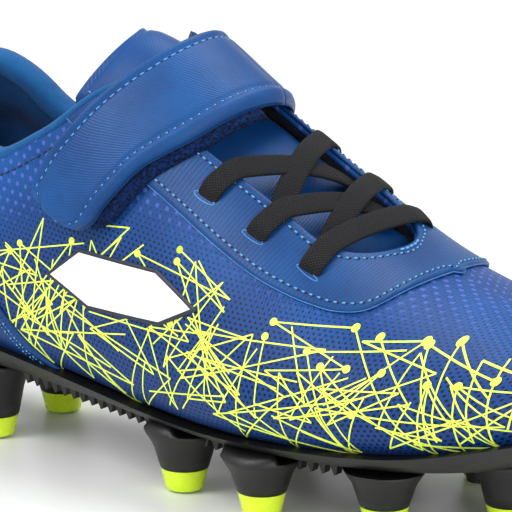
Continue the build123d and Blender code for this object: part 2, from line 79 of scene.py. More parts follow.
LENGTH = 200.0
UPPER = 1.2             # printed textile
GLUE = 0.1
OVERLAY = 1.0           # heel overlay and eyestay film
INTERLINING = 0.9
LINING = 0.6
LINING_OUT = -(UPPER + 2 * GLUE + INTERLINING)
LINING_IN = LINING_OUT - LINING
COLLAR_PAD = 3.2
COLLAR_DEPTH = 20.0
TONGUE_OUT = LINING_IN - 0.4
TONGUE_THICK = 4.8
THROAT_NEAR, THROAT_FAR, THROAT_END = -15.0, 12.0, 153.5
OVER = GLUE + OVERLAY   # top of the overlays
LOOP_LOW, LOOP_HIGH = 1.2, 2.7
STRAP_LOW, STRAP_HIGH = 3.0, 5.6
STRAP_DROP = 1.8        # the strap lies that much lower on the inner side
STRAP_WIDTH = 18.6
LACE_WIDTH, LACE_THICK = 5.0, 1.25
LACE_LOW, LACE_HIGH = 1.25, 2.55
EASE = 0.9              # reach of a softened edge

CENTRE = [(0, 0), (50, -0.5), (80, -1.8), (110, -1.5), (130, -0.5), (150, 1), (170, 3.2), (185, 5), (200, 6.5)]
HALF_WIDTH = [(0, 24.5), (25, 25), (50, 25), (80, 27.5), (110, 33), (130, 36.5), (145, 37), (200, 37)]
FLOOR = [(0, 11), (54, 9.5), (80, 6.5), (118, 3), (150, 2.5), (175, 4), (190, 6.5), (200, 8.5)]
BAND_TOP = [(-10, 15), (0, 14.5), (54, 14), (80, 10.5), (118, 6.3), (148, 6.5), (175, 8), (190, 10.5), (210, 13)]
WIDEST = [(0, 30), (54, 26), (80, 23), (118, 17), (150, 15.5), (175, 16.5), (200, 19)]
RIDGE = [(0, 100), (60, 100), (84, 95), (95, 88), (109, 79), (124, 68.5), (140, 57.5), (154, 47.5), (166, 40.5),
         (177, 35.5), (188, 32), (200, 29)]
RIDGE_SHIFT = [(0, 0), (84, 1), (110, 3), (130, 4), (150, 6), (170, 8), (200, 9)]
SQUARENESS = [(0, 2), (50, 2), (84, 1.85), (110, 1.7), (130, 1.68), (150, 1.75), (170, 1.95), (200, 2.2)]
TONGUE_RIDGE = [(0, 93), (60, 92.5), (75, 92), (84, 91), (92, 88), (100, 83.5), (109, 78), (124, 68.5), (140, 57.5),
                (154, 47.5), (166, 40.5), (200, 29)]
COLLAR_TOP = [(-12, 76), (0, 76), (14, 76), (28, 75.2), (36, 71), (43, 65.3), (50, 61.8), (56, 61), (61.4, 63),
              (65.5, 65.3), (69.6, 67.6), (73.9, 70.7), (78, 74.2), (84.6, 78.4), (90, 80.5), (100, 84)]
EYESTAY_EDGE = [(75.5, 69.8), (101.1, 57.1), (121.1, 46.4), (134.9, 40.3), (145.3, 37.1), (151.1, 36), (156.9, 36.5),
                (160.2, 38.8), (163.4, 41.8)]
HEEL_OVERLAY_EDGE = [(-12, 66), (14, 61), (34, 46), (50, 33), (59.2, 24.1), (67.8, 16.4), (78, 9.5)]
STRAP_CENTRE = [(82.5, 55), (84.4, 58.5), (87.3, 62.5), (91.6, 68.3), (95.6, 72.9), (100.6, 78), (105.4, 82.8),
                (110.4, 88), (115.4, 93)]
MARK_OUTLINE = [(74, 34.6), (84, 42), (107, 40.5), (120, 33.4), (110, 28.6), (88, 28.8)]
SLOTS_NEAR = [(114.3, -21.3), (128.0, -22.3), (142.0, -21.6)]
SLOTS_FAR = [(122.4, 18.6), (136.4, 19.0), (148.6, 18.0)]
UNDER_FAR = [(136.0, 12.0), (145.0, 12.0)]      # where the lace from an outer slot goes under the far edge
UNDER_NEAR = [(129.8, -15.0), (142.2, -15.0)]   # where the lace from an inner slot goes under the near edge
PRINT_TOP = [(0, 44), (40, 43), (62, 43.5), (77, 49.5), (102, 49.5), (111, 46.7), (122, 42.3), (134, 37.4),
             (150, 33.6), (165, 33.2), (186, 29), (200, 24)]
PLATE = [(0, 5), (54, 5), (80, 3.2), (118, 0.4), (150, 0), (175, 1), (190, 3.5), (200, 6)]
TIP_TOP = -6.8          # top of a stud's coloured end
POST_LOW = 5.5          # radius of a stud post where the coloured end starts
POST_FLARE = 2.6
POST_SINK = 1.6         # how far a post runs up into the plate
ROOT_FLARE = 1.1
TEETH_RANGES = [(60, 102), (117, 127), (143, 153)]
TEETH_PITCH = 3.0
PRINT_RUNS = 47
TONGUE_SEAM = 2.3       # from the tongue's edge
FAR_DROP = 1.7          # how much lower the inner side of the instep lies
STRAP_SPREAD = 2.6      # extra width of the strap over the top, on its front side
PRINT_END = 200.0
PRINT_HALF_WIDTH = 0.16
GOLDEN = 0.618          # spreads successive runs evenly up and down
LACE_HALF_SHARE = 0.56  # half the drawn lace's width over LACE_WIDTH
ROLL_HALF = 3.1         # half the height of the collar's rolled binding at the heel
HINGE_LATERAL = (96.8, 74.2)
HINGE_MEDIAL = (88.0, 63.5)
STRAP_LEAN = 40.0
TONGUE_FOLD = 104.0

LATERAL, MEDIAL = -1, 1


# ---------------------------------------------------------------- the boot's form

def along(points, x):
    """Height of a smooth curve through points at x, held level past both ends."""
    px = np.array([p[0] for p in points], float)
    py = np.array([p[1] for p in points], float)
    step = np.diff(px)
    rise = np.diff(py) / step
    slopes = np.empty(len(px))
    slopes[0], slopes[-1] = rise[0], rise[-1]
    slopes[1:-1] = (rise[:-1] * step[1:] + rise[1:] * step[:-1]) / (step[:-1] + step[1:])
    x = np.clip(np.asarray(x, float), px[0], px[-1])
    i = np.clip(np.searchsorted(px, x, side="right") - 1, 0, len(step) - 1)
    t = (x - px[i]) / step[i]
    return ((2 * t**3 - 3 * t**2 + 1) * py[i] + (t**3 - 2 * t**2 + t) * step[i] * slopes[i]
            + (-2 * t**3 + 3 * t**2) * py[i + 1] + (t**3 - t**2) * step[i] * slopes[i + 1])


def smooth(share):
    share = np.clip(share, 0.0, 1.0)
    return share * share * (3 - 2 * share)


def rounding(distance, reach, power):
    """Grows from 0 to 1 over reach, as the end of a rounded outline does."""
    left = 1 - np.clip(distance, 0.0, reach) / reach
    return (1 - left**power)**(1 / power)


def ends(x):
    """How far the rounded heel and toe let the sides, the ridge and the floor reach at x."""
    toe = LENGTH - x
    return (rounding(x, 24, 2.2) * rounding(toe, 55, 2.25), rounding(x, 22, 1.6) * rounding(toe, 24, 2.0),
            rounding(x, 14, 2.2) * rounding(toe, 16, 2.2))


def surface(x, turn, grow=0.0, extra=0.0, ridge=RIDGE):
    """Points on the boot's form grown outwards; turn is 0 on the inner side, half pi on top, pi on the outer side."""
    x, turn, grow, extra = np.broadcast_arrays(np.asarray(x, float), turn, grow, extra)
    half, widest, top = along(HALF_WIDTH, x), along(WIDEST, x), along(ridge, x)
    middle, shift, square = along(CENTRE, x), along(RIDGE_SHIFT, x), along(SQUARENESS, x)
    side_end, top_end, bottom_end = ends(x)
    size = grow + extra
    across, rise = np.cos(turn), np.sin(turn)
    upper = rise >= 0
    power = np.where(upper, 2 / square, 2 / 3.2)
    lift = np.abs(rise)**power
    reach = (half + size) * side_end * np.sign(across) * np.abs(across)**power
    z_up = widest + (top + size - widest) * top_end * lift
    z_down = widest - (widest - along(FLOOR, x) + size) * bottom_end * lift
    y_up = middle + (shift - middle) * lift * side_end + reach
    y_down = middle + reach * (1 - 0.06 * lift)
    z_up = z_up - FAR_DROP * smooth((y_up + 14) / 22) * lift**2 * smooth((x - 97) / 14) * smooth((178 - x) / 24)
    return np.stack([-grow + x / LENGTH * (LENGTH + 2 * grow), np.where(upper, y_up, y_down),
                     np.where(upper, z_up, z_down)], -1)


def turn_at_z(x, z, side, ridge=RIDGE):
    """The turn at which the form has height z, on one side of the boot."""
    x = np.asarray(x, float)
    widest, top = along(WIDEST, x), along(ridge, x)
    _, top_end, bottom_end = ends(x)
    square = along(SQUARENESS, x)
    lift = np.clip((z - widest) / np.maximum((top - widest) * top_end, 1e-6), 0, 1)
    drop = np.clip((widest - z) / np.maximum((widest - along(FLOOR, x)) * bottom_end, 1e-6), 0, 1)
    turn = np.where(z >= widest, np.arcsin(lift**(square / 2)), -np.arcsin(drop**1.6))
    return turn if side > 0 else math.pi - turn


def turn_at_y(x, y, grow=0.0, ridge=RIDGE):
    """The turn at which the upper half of the form has that y."""
    x, y = np.broadcast_arrays(np.asarray(x, float), np.asarray(y, float))
    low, high = np.zeros(x.shape), np.full(x.shape, math.pi)
    for _ in range(36):
        mid = (low + high) / 2
        inside = surface(x, mid, grow, ridge=ridge)[..., 1] > y
        low, high = np.where(inside, mid, low), np.where(inside, high, mid)
    return (low + high) / 2


def throat_sink(x, y):
    """How far the taut lace and the tongue lie below the form between the edges of the lace opening."""
    inside = np.clip(y, THROAT_NEAR, THROAT_FAR)
    here = surface(x, turn_at_y(x, inside))[..., 2]
    near = surface(x, turn_at_y(x, np.full(np.shape(x), THROAT_NEAR)))[..., 2]
    far = surface(x, turn_at_y(x, np.full(np.shape(x), THROAT_FAR)))[..., 2]
    chord = near + (far - near) * (inside - THROAT_NEAR) / (THROAT_FAR - THROAT_NEAR)
    return np.maximum(here - chord, 0) * smooth((x - 99) / 11) * smooth((157 - x) / 9)


def collar_pad(x, z):
    """How far the padding pushes the lining in under the top line."""
    depth = (z - (along(COLLAR_TOP, x) - COLLAR_DEPTH)) / 12.0
    return -COLLAR_PAD * smooth(depth) * smooth((76.0 - x) / 14.0)


def place(points):
    """Drawn millimetres to metres in the shared frame."""
    return np.asarray(points, float) / 1000 + ORIGIN


# ---------------------------------------------------------------- mesh helpers

def put_in_scene(name, data):
    obj = bpy.data.objects.new(name, data)
    bpy.context.scene.collection.objects.link(obj)
    return obj


def run_along(points):
    """Distance from the first point to each point of a line."""
    return np.concatenate([[0], np.cumsum(np.linalg.norm(np.diff(points, axis=0), axis=1))])


def new_object(name, vertices, faces, uv=None, smooth_faces=True):
    mesh = bpy.data.meshes.new(name)
    mesh.from_pydata([tuple(v) for v in vertices], [], faces)
    mesh.validate()
    if uv is not None:
        layer = mesh.uv_layers.new(name="UVMap")
        index = np.empty(len(mesh.loops), int)
        mesh.loops.foreach_get("vertex_index", index)
        layer.data.foreach_set("uv", np.asarray(uv, float)[index].ravel())
    if smooth_faces:
        mesh.shade_smooth()
    obj = put_in_scene(name, mesh)
    return obj


def grid_faces(rows, columns, start=0, flip=False, closed=False):
    faces = []
    for i in range(rows - 1):
        for j in range(columns if closed else columns - 1):
            k = (j + 1) % columns
            a, b = start + i * columns + j, start + i * columns + k
            quad = (a, b, b + columns, a + columns)
            faces.append(quad[::-1] if flip else quad)
    return faces


def spaced(count, length, ease=EASE):
    """Shares from 0 to 1 with closer lines near both ends, where an edge is rounded off."""
    near = np.array([0, 0.12, 0.35, 0.65, 1.0]) * min(ease / max(length, 1e-6), 0.3)
    middle = np.linspace(near[-1], 1 - near[-1], count)[1:-1]
    return np.concatenate([near, middle, (1 - near)[::-1]])


def edge_drop(distance, ease=EASE):
    """Share of the thickness left at a distance from a softened edge."""
    return 1 - 0.55 * (1 - np.sqrt(1 - (1 - np.clip(distance / ease, 0, 1))**2))


def rim_of(rows, columns):
    """The grid's border as indices, once round."""
    top = [j for j in range(columns)]
    right = [i * columns + columns - 1 for i in range(1, rows)]
    bottom = [(rows - 1) * columns + j for j in range(columns - 2, -1, -1)]
    left = [i * columns for i in range(rows - 2, 0, -1)]
    return top + right + bottom + left


def slab(name, outer, inner, uv):
    """A closed wall between two grids of points with the same layout."""
    rows, columns = outer.shape[:2]
    count = rows * columns
    points = np.concatenate([outer.reshape(-1, 3), inner.reshape(-1, 3)])
    centre_normal = np.cross(outer[rows // 2, columns // 2 - 1] - outer[rows // 2, columns // 2],
                             outer[rows // 2 - 1, columns // 2] - outer[rows // 2, columns // 2])
    away = outer[rows // 2, columns // 2] - inner[rows // 2, columns // 2]
    flip = float(centre_normal @ away) < 0
    faces = grid_faces(rows, columns, 0, flip) + grid_faces(rows, columns, count, not flip)
    rim = rim_of(rows, columns)
    for a, b in zip(rim, rim[1:] + rim[:1]):
        quad = (a, a + count, b + count, b)
        faces.append(quad[::-1] if not flip else quad)
    flat_uv = np.concatenate([uv.reshape(-1, 2)] * 2)
    obj = new_object(name, place(points), faces, flat_uv)
    return tidy(obj)


def tidy(obj, distance=1e-7):
    """Merges doubled points and turns every face outwards."""
    bm = bmesh.new()
    bm.from_mesh(obj.data)
    bmesh.ops.remove_doubles(bm, verts=bm.verts, dist=distance)
    bmesh.ops.dissolve_degenerate(bm, edges=bm.edges, dist=1e-7)
    bmesh.ops.recalc_face_normals(bm, faces=bm.faces)
    bm.to_mesh(obj.data)
    bm.free()
    return obj


def face_outwards(obj):
    bm = bmesh.new()
    bm.from_mesh(obj.data)
    bmesh.ops.recalc_face_normals(bm, faces=bm.faces)
    bm.to_mesh(obj.data)
    bm.free()


def arc_uv(points, axis):
    """Distance along an axis of a grid of points, in millimetres."""
    step = np.linalg.norm(np.diff(points, axis=axis), axis=-1)
    zero = np.zeros_like(np.take(step, [0], axis=axis))
    return np.concatenate([zero, np.cumsum(step, axis=axis)], axis=axis)


def finish_piece(obj, material, body=None, replaces=()):
    obj.data.materials.clear()
    obj.data.materials.append(material)
    if body is not None:
        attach(obj, body)
    if replaces:
        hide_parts(*replaces)
    return obj


def join(objects, name):
    """One object from several, with their points where they are."""
    bpy.ops.object.select_all(action="DESELECT")
    for o in objects:
        o.select_set(True)
    bpy.context.view_layer.objects.active = objects[0]
    bpy.ops.object.join()
    objects[0].name = name
    objects[0].data.name = name
    return objects[0]


# ---------------------------------------------------------------- finishes

def tone(red, green, blue):
    """A display colour, each channel 0 to 255, as the linear value that a shader takes."""
    def linear(c):
        c = c / 255
        return c / 12.92 if c <= 0.04045 else ((c + 0.055) / 1.055)**2.4
    return (linear(red), linear(green), linear(blue), 1.0)


class Finish:
    """A material with its nodes; sockets can be passed to its helpers in place of numbers."""

    def __init__(self, name, roughness=0.6, **values):
        self.material = bpy.data.materials.new(name)
        self.material.use_nodes = True
        self.tree = self.material.node_tree
        self.shader = self.tree.nodes["Principled BSDF"]
        self.shader.inputs["Roughness"].default_value = roughness
        for socket, value in values.items():
            self.shader.inputs[socket.replace("_", " ")].default_value = value

    def node(self, kind, **settings):
        node = self.tree.nodes.new(kind)
        for key, value in settings.items():
            setattr(node, key, value)
        return node

    def link(self, source, socket):
        self.tree.links.new(source, socket)

    def put(self, value, socket):
        if isinstance(value, bpy.types.NodeSocket):
            self.link(value, socket)
        else:
            socket.default_value = value

    def math(self, operation, *values):
        node = self.node("ShaderNodeMath", operation=operation)
        for value, socket in zip(values, node.inputs):
            self.put(value, socket)
        return node.outputs[0]

    def step(self, value, low, high):
        """Grows smoothly from 0 at low to 1 at high."""
        node = self.node("ShaderNodeMapRange", interpolation_type="SMOOTHSTEP")
        self.put(value, node.inputs["Value"])
        self.put(low, node.inputs["From Min"])
        self.put(high, node.inputs["From Max"])
        return node.outputs["Result"]

    def mix(self, share, first, second):
        node = self.node("ShaderNodeMix", data_type="RGBA")
        self.put(share, node.inputs["Factor"])
        self.put(first, node.inputs[6])
        self.put(second, node.inputs[7])
        return node.outputs[2]

    def uv(self):
        """The two directions of the piece's own map, in millimetres."""
        split = self.node("ShaderNodeSeparateXYZ")
        self.link(self.node("ShaderNodeUVMap", uv_map="UVMap").outputs["UV"], split.inputs[0])
        return split.outputs[0], split.outputs[1]

    def spot(self):
        """Object coordinates, in metres."""
        return self.node("ShaderNodeTexCoord").outputs["Object"]

    def noise(self, size, detail=3.0, place=None, rough=0.55):
        """Noise whose blobs are about size millimetres across."""
        node = self.node("ShaderNodeTexNoise")
        node.inputs["Scale"].default_value = 1000 / size
        node.inputs["Detail"].default_value = detail
        node.inputs["Roughness"].default_value = rough
        self.link(place or self.spot(), node.inputs["Vector"])
        return node.outputs["Fac"]

    def wave(self, along_value, pitch, across=0.0):
        """A ridge every pitch millimetres, from 0 to 1."""
        turn = self.math("MULTIPLY", self.math("ADD", along_value, across), 2 * math.pi / pitch)
        return self.math("MULTIPLY_ADD", self.math("SINE", turn), 0.5, 0.5)

    def dots(self, u, v, pitch, radius):
        """Round dots in staggered rows; radius is a share of the pitch."""
        rows = self.math("DIVIDE", v, pitch * 0.866)
        odd = self.math("MULTIPLY", self.math("MODULO", self.math("FLOOR", rows), 2.0), 0.5)
        du = self.math("SUBTRACT", self.math("FRACT", self.math("ADD", self.math("DIVIDE", u, pitch), odd)), 0.5)
        dv = self.math("MULTIPLY", self.math("SUBTRACT", self.math("FRACT", rows), 0.5), 0.866)
        far = self.math("SQRT", self.math("ADD", self.math("MULTIPLY", du, du), self.math("MULTIPLY", dv, dv)))
        return self.step(self.math("SUBTRACT", radius, far), -0.05, 0.05)

    def bump(self, height, depth, before=None):
        """Relief of depth millimetres."""
        node = self.node("ShaderNodeBump")
        node.inputs["Strength"].default_value = 1.0
        node.inputs["Distance"].default_value = depth / 1000
        self.put(height, node.inputs["Height"])
        if before is not None:
            self.link(before, node.inputs["Normal"])
        return node.outputs["Normal"]

    def done(self, colour=None, normal=None, roughness=None):
        if colour is not None:
            self.put(colour, self.shader.inputs["Base Color"])
        if normal is not None:
            self.link(normal, self.shader.inputs["Normal"])
        if roughness is not None:
            self.put(roughness, self.shader.inputs["Roughness"])
        return self.material


def printed_textile():
    """Blue coated textile: fine ribs, a grid of dark dots that swells towards the sole, pale dots above it."""
    f = Finish("printed_textile", roughness=0.5, Specular_IOR_Level=0.22, Sheen_Weight=0.02)
    u, v = f.uv()
    fade = f.node("ShaderNodeAttribute", attribute_name="print_depth").outputs["Fac"]
    cloud = f.noise(26, 3)
    base = f.mix(f.step(cloud, 0.35, 0.7), tone(9, 60, 122), tone(15, 76, 144))
    low = f.step(fade, -6.0, 12.0)
    base = f.mix(low, base, tone(9, 56, 118))
    swell = f.step(f.math("ADD", fade, f.math("MULTIPLY", cloud, 14.0)), -8.0, 20.0)
    radius = f.math("MULTIPLY_ADD", swell, 0.13, 0.13)
    dark = f.dots(u, v, 1.35, radius)
    pale = f.dots(f.math("ADD", u, 0.7), v, 2.6, 0.2)
    above = f.math("SUBTRACT", 1.0, f.step(fade, -7.0, 1.0))
    colour = f.mix(f.math("MULTIPLY", f.math("MULTIPLY", pale, above), 0.75), base, tone(78, 98, 188))
    weight = f.math("MULTIPLY_ADD", f.step(fade, -14.0, 6.0), 0.85, 0.12)
    colour = f.mix(f.math("MULTIPLY", dark, weight), colour, tone(5, 8, 20))
    ribs = f.wave(u, 0.72)
    grain = f.noise(0.5, 2)
    normal = f.bump(f.math("ADD", ribs, f.math("MULTIPLY", grain, 0.8)), 0.035)
    return f.done(colour, normal, f.math("MULTIPLY_ADD", grain, 0.14, 0.4))


def coated_film(name, dark, light, sheen=0.02, rib=0.9, slant=0.35, roughness=0.42):
    """Smooth coated overlay with fine slanting ribs."""
    f = Finish(name, roughness=roughness, Specular_IOR_Level=0.25, Sheen_Weight=sheen, Sheen_Roughness=0.35)
    u, v = f.uv()
    cloud = f.noise(18, 4)
    colour = f.mix(f.step(cloud, 0.3, 0.72), dark, light)
    ribs = f.wave(f.math("MULTIPLY_ADD", v, slant, u), rib)
    grain = f.noise(0.35, 2)
    height = f.math("ADD", f.math("MULTIPLY", ribs, 0.7), f.math("MULTIPLY", grain, 0.8))
    normal = f.bump(height, 0.045)
    return f.done(colour, normal, f.math("MULTIPLY_ADD", grain, 0.16, roughness - 0.08))


def soft_binding():
    """Light blue brushed edge of the collar."""
    f = Finish("soft_binding", roughness=0.85, Specular_IOR_Level=0.2, Sheen_Weight=0.08, Sheen_Roughness=0.5)
    cloud = f.noise(3.0, 5)
    fuzz = f.noise(0.28, 3)
    colour = f.mix(cloud, tone(11, 66, 121), tone(20, 94, 149))
    return f.done(colour, f.bump(fuzz, 0.18))


def felt(name, dark, light, depth=0.12, sheen=0.05):
    """A brushed or fibrous surface."""
    f = Finish(name, roughness=0.95, Specular_IOR_Level=0.15, Sheen_Weight=sheen, Sheen_Roughness=0.5)
    fuzz = f.noise(0.4, 4)
    cloud = f.noise(7.0, 3)
    share = f.math("ADD", f.math("MULTIPLY", fuzz, 0.5), f.math("MULTIPLY", cloud, 0.5))
    return f.done(f.mix(f.step(share, 0.3, 0.7), dark, light), f.bump(fuzz, depth))


def collar_lining():
    """Brushed lining: blue round the heel, nearly black from the throat forwards."""
    f = Finish("lining_felt", roughness=0.95, Specular_IOR_Level=0.15, Sheen_Weight=0.05, Sheen_Roughness=0.5)
    fuzz = f.noise(0.4, 4)
    share = f.step(f.math("MULTIPLY", f.math("ADD", fuzz, f.noise(7.0, 3)), 0.5), 0.3, 0.7)
    black = f.mix(share, tone(8, 10, 18), tone(18, 22, 36))
    blue = f.mix(share, tone(8, 44, 84), tone(16, 62, 110))
    split = f.node("ShaderNodeSeparateXYZ")
    f.link(f.spot(), split.inputs[0])
    ahead = f.step(split.outputs[0], float(place((62, 0, 0))[0]), float(place((80, 0, 0))[0]))
    return f.done(f.mix(ahead, blue, black), f.bump(fuzz, 0.12))


def woven_lace():
    """Flat black lace: a slanting weave; its raised ridges get a lighter colour, a painted highlight."""
    f = Finish("woven_lace", roughness=0.72, Specular_IOR_Level=0.25)
    u, v = f.uv()
    one = f.wave(f.math("MULTIPLY_ADD", v, 1.3, u), 0.95)
    two = f.wave(f.math("MULTIPLY_ADD", v, -1.3, u), 0.95)
    plait_and_highlight = f.math("MAXIMUM", f.math("POWER", one, 2.2), f.math("POWER", two, 2.2))
    fuzz = f.noise(0.22, 3)
    # painted highlight: the raised ridges of the weave take the lighter colour
    colour = f.mix(plait_and_highlight, tone(1, 1, 2), tone(34, 34, 37))
    height = f.math("ADD", plait_and_highlight, f.math("MULTIPLY", fuzz, 0.35))
    return f.done(colour, f.bump(height, 0.24))


def thread(name, dark, light):
    f = Finish(name, roughness=0.55, Sheen_Weight=0.05)
    fibre = f.noise(0.25, 3)
    return f.done(f.mix(fibre, dark, light), f.bump(fibre, 0.08))


def moulded(name, dark, light, roughness, grain_size=0.5, depth=0.03, coat=0.0, subsurface=0.0):
    """Moulded plastic with a fine grain."""
    f = Finish(name, roughness=roughness, Coat_Weight=coat, Coat_Roughness=0.2)
    f.shader.inputs["Subsurface Weight"].default_value = subsurface
    f.shader.inputs["Subsurface Scale"].default_value = 0.002
    grain = f.noise(grain_size, 4)
    cloud = f.noise(14.0, 3)
    rough = f.math("MULTIPLY_ADD", grain, 0.18, roughness - 0.09)
    return f.done(f.mix(f.step(cloud, 0.3, 0.7), dark, light), f.bump(grain, depth), rough)


def hook_fuzz(name, dark, light):
    """Hook-and-loop pile."""
    f = Finish(name, roughness=1.0, Specular_IOR_Level=0.1, Sheen_Weight=0.02, Sheen_Roughness=0.6)
    loops = f.noise(0.7, 5, rough=0.7)
    return f.done(f.mix(f.step(loops, 0.38, 0.62), dark, light), f.bump(loops, 0.5))


def print_ink(name, base, bright, glow=0.0):
    f = Finish(name, roughness=0.5)
    wear = f.noise(1.2, 4)
    colour = f.mix(f.step(wear, 0.25, 0.6), base, bright)
    # painted glow: the ink gets a faint emission, so it lights up though it is no lamp
    if glow:
        f.link(colour, f.shader.inputs["Emission Color"])
        f.shader.inputs["Emission Strength"].default_value = glow
    return f.done(colour, f.bump(wear, 0.01))


TEXTILE = printed_textile()
OVERLAY_FILM = coated_film("overlay_film", tone(5, 53, 107), tone(8, 67, 124))
HEEL_FILM = coated_film("heel_film", tone(5, 44, 94), tone(7, 56, 111))
STRAP_FILM = coated_film("strap_film", tone(6, 58, 114), tone(9, 72, 133), sheen=0.04, rib=0.75, slant=-0.6)
TONGUE_FABRIC = coated_film("tongue_fabric", tone(6, 60, 119), tone(9, 74, 136), sheen=0.04, rib=0.7, slant=0.5)
BINDING_SOFT = soft_binding()
LINING_FELT = collar_lining()
LACE_WEAVE = woven_lace()
THREAD_BLUE = thread("thread_blue", tone(50, 124, 190), tone(96, 176, 226))
# dark thread for seams, also used for the painted shade of each needle hole between stitches
THREAD_DARK_AND_HOLE_SHADE = thread("thread_dark_and_hole_shade", tone(3, 10, 32), tone(8, 22, 54))
SOLE_BLACK = moulded("sole_black", tone(3, 3, 4), tone(9, 9, 10), 0.46, 0.45, 0.05, 0.0)
TIP_NEON = moulded("tip_neon", tone(206, 240, 10), tone(226, 252, 36), 0.28, 1.4, 0.03, 0.3, 0.15)
LOOP_PILE = hook_fuzz("loop_pile", tone(2, 10, 30), tone(12, 42, 92))
HOOK_PILE = hook_fuzz("hook_pile", tone(8, 16, 46), tone(34, 64, 128))
# the yellow print glows faintly: painted glow through emission
INK_YELLOW = print_ink("ink_yellow", tone(206, 232, 56), tone(226, 246, 88), 0.1)
MARK_WHITE = print_ink("mark_white", tone(236, 238, 240), tone(250, 251, 252), 0.0)
MARK_DARK = print_ink("mark_dark", tone(14, 18, 30), tone(30, 36, 54), 0.0)
CUT_EDGE = felt("cut_edge", tone(50, 104, 172), tone(92, 152, 210), 0.05)
BOARD_FIBRE = felt("board_fibre", tone(150, 140, 122), tone(186, 174, 152), 0.08)
SOCK_COVER = felt("sock_cover", tone(26, 40, 84), tone(52, 78, 140), 0.1)
FOAM_PALE = felt("foam_pale", tone(190, 190, 186), tone(226, 226, 220), 0.1)


# ---------------------------------------------------------------- where the upper is cut open

def opening_line(x, side):
    """Y of the lace opening's edge, rounded at its front end."""
    edge = THROAT_NEAR if side < 0 else THROAT_FAR
    reach = 15.0 if side < 0 else 9.0
    turn_in = rounding(THROAT_END - x, reach, 2.1)
    middle = 1.5
    return middle + (edge - middle) * turn_in


def edge_turn(x, side, drop=0.0, back=0.0):
    """Turn of the upper's edge at x: the top line, lowered by drop, then the lace opening, widened by back."""
    x = np.asarray(x, float)
    collar = turn_at_z(x, along(COLLAR_TOP, x) - drop, side)
    opened = turn_at_y(x, opening_line(x, side) + side * back)
    opened = np.where((x > 76) & (x < THROAT_END), opened, math.pi / 2)
    return np.maximum(collar, opened) if side < 0 else np.minimum(collar, opened)


HEEL_TOP_X = 7.95       # ahead of here the top line opens at the heel's back
SOLE_TURN = 0.62        # the upper runs on under the foot to this turn below its widest line


def skin_stations(count):
    """Lengthwise stations, closer at the heel, at the opening's corners and at the toe."""
    heel = HEEL_TOP_X * (1 - np.cos(np.linspace(0, math.pi / 2, 14)))
    heel = np.concatenate([[0.02], heel[1:]])
    open_back = HEEL_TOP_X + (30 - HEEL_TOP_X) * np.linspace(0, 1, 18)[1:]**2
    body = np.linspace(30, THROAT_END - 16, count)[1:]
    corner = THROAT_END - 16 * (1 - np.linspace(0, 1, 20)[1:])**2
    vamp = THROAT_END + (186 - THROAT_END) * np.linspace(0, 1, 22)[1:]
    toe = LENGTH - 14 * np.cos(np.linspace(0, math.pi / 2, 16))[1:] - 0.02
    return np.concatenate([heel, open_back, body, corner, vamp, toe])


def wall_patch(name, side, low, high, drop, back, rows=44, extra=None, count=46):
    """One side of a layer of the upper, from its edge down under the foot."""
    xs = skin_stations(count)
    top = edge_turn(xs, side, drop, back)
    bottom = -SOLE_TURN if side > 0 else math.pi + SOLE_TURN
    share = np.concatenate([[0, 0.004, 0.012, 0.024], np.linspace(0.04, 1, rows - 4)])
    x = np.repeat(xs[:, None], rows, 1)
    turn = top[:, None] + (bottom - top[:, None]) * share[None, :]
    z = surface(x, turn)[..., 2]
    more = 0.0 if extra is None else extra(x, z)
    outer = surface(x, turn, high, more)
    inner = surface(x, turn, low, more)
    length = arc_uv(surface(x, turn), 1)
    uv = np.stack([x, length[:, -1:] - length], -1)
    obj = slab(name, outer, inner, uv)
    return obj


def add_print_depth(obj):
    """Stores how far below the print's upper limit each point lies, in millimetres."""
    count = len(obj.data.vertices)
    co = np.empty(count * 3)
    obj.data.vertices.foreach_get("co", co)
    drawn = (co.reshape(-1, 3) - ORIGIN) * 1000
    depth = along(PRINT_TOP, drawn[:, 0]) - drawn[:, 2]
    attribute = obj.data.attributes.new("print_depth", "FLOAT", "POINT")
    attribute.data.foreach_set("value", depth.astype(np.float32))


def make_upper():
    sides = [wall_patch("upper_" + name, side, -UPPER, 0.0, 0.4, 0.25)
             for name, side in (("outer", LATERAL), ("inner", MEDIAL))]
    obj = join(sides, "upper_textile")
    tidy(obj, 2e-6)
    add_print_depth(obj)
    return finish_piece(obj, TEXTILE, "shoe", ("upper", "interlining", "heel_counter", "toe_puff"))


def make_lining():
    sides = [wall_patch("lining_" + name, side, LINING_IN, -UPPER - 0.05, 0.6, 0.35, extra=collar_pad)
             for name, side in (("outer", LATERAL), ("inner", MEDIAL))]
    obj = join(sides, "lining_cloth")
    tidy(obj, 2e-6)
    return finish_piece(obj, LINING_FELT, "shoe", ("lining", "collar_foam"))


# ---------------------------------------------------------------- tubes, rolls and ribbons

def frames(points, normals):
    """Unit tangents, outward normals and the directions across a path."""
    tangent = np.gradient(points, axis=0)
    tangent /= np.linalg.norm(tangent, axis=1, keepdims=True)
    normal = normals - np.sum(normals * tangent, 1, keepdims=True) * tangent
    normal /= np.linalg.norm(normal, axis=1, keepdims=True)
    return tangent, normal, np.cross(tangent, normal)


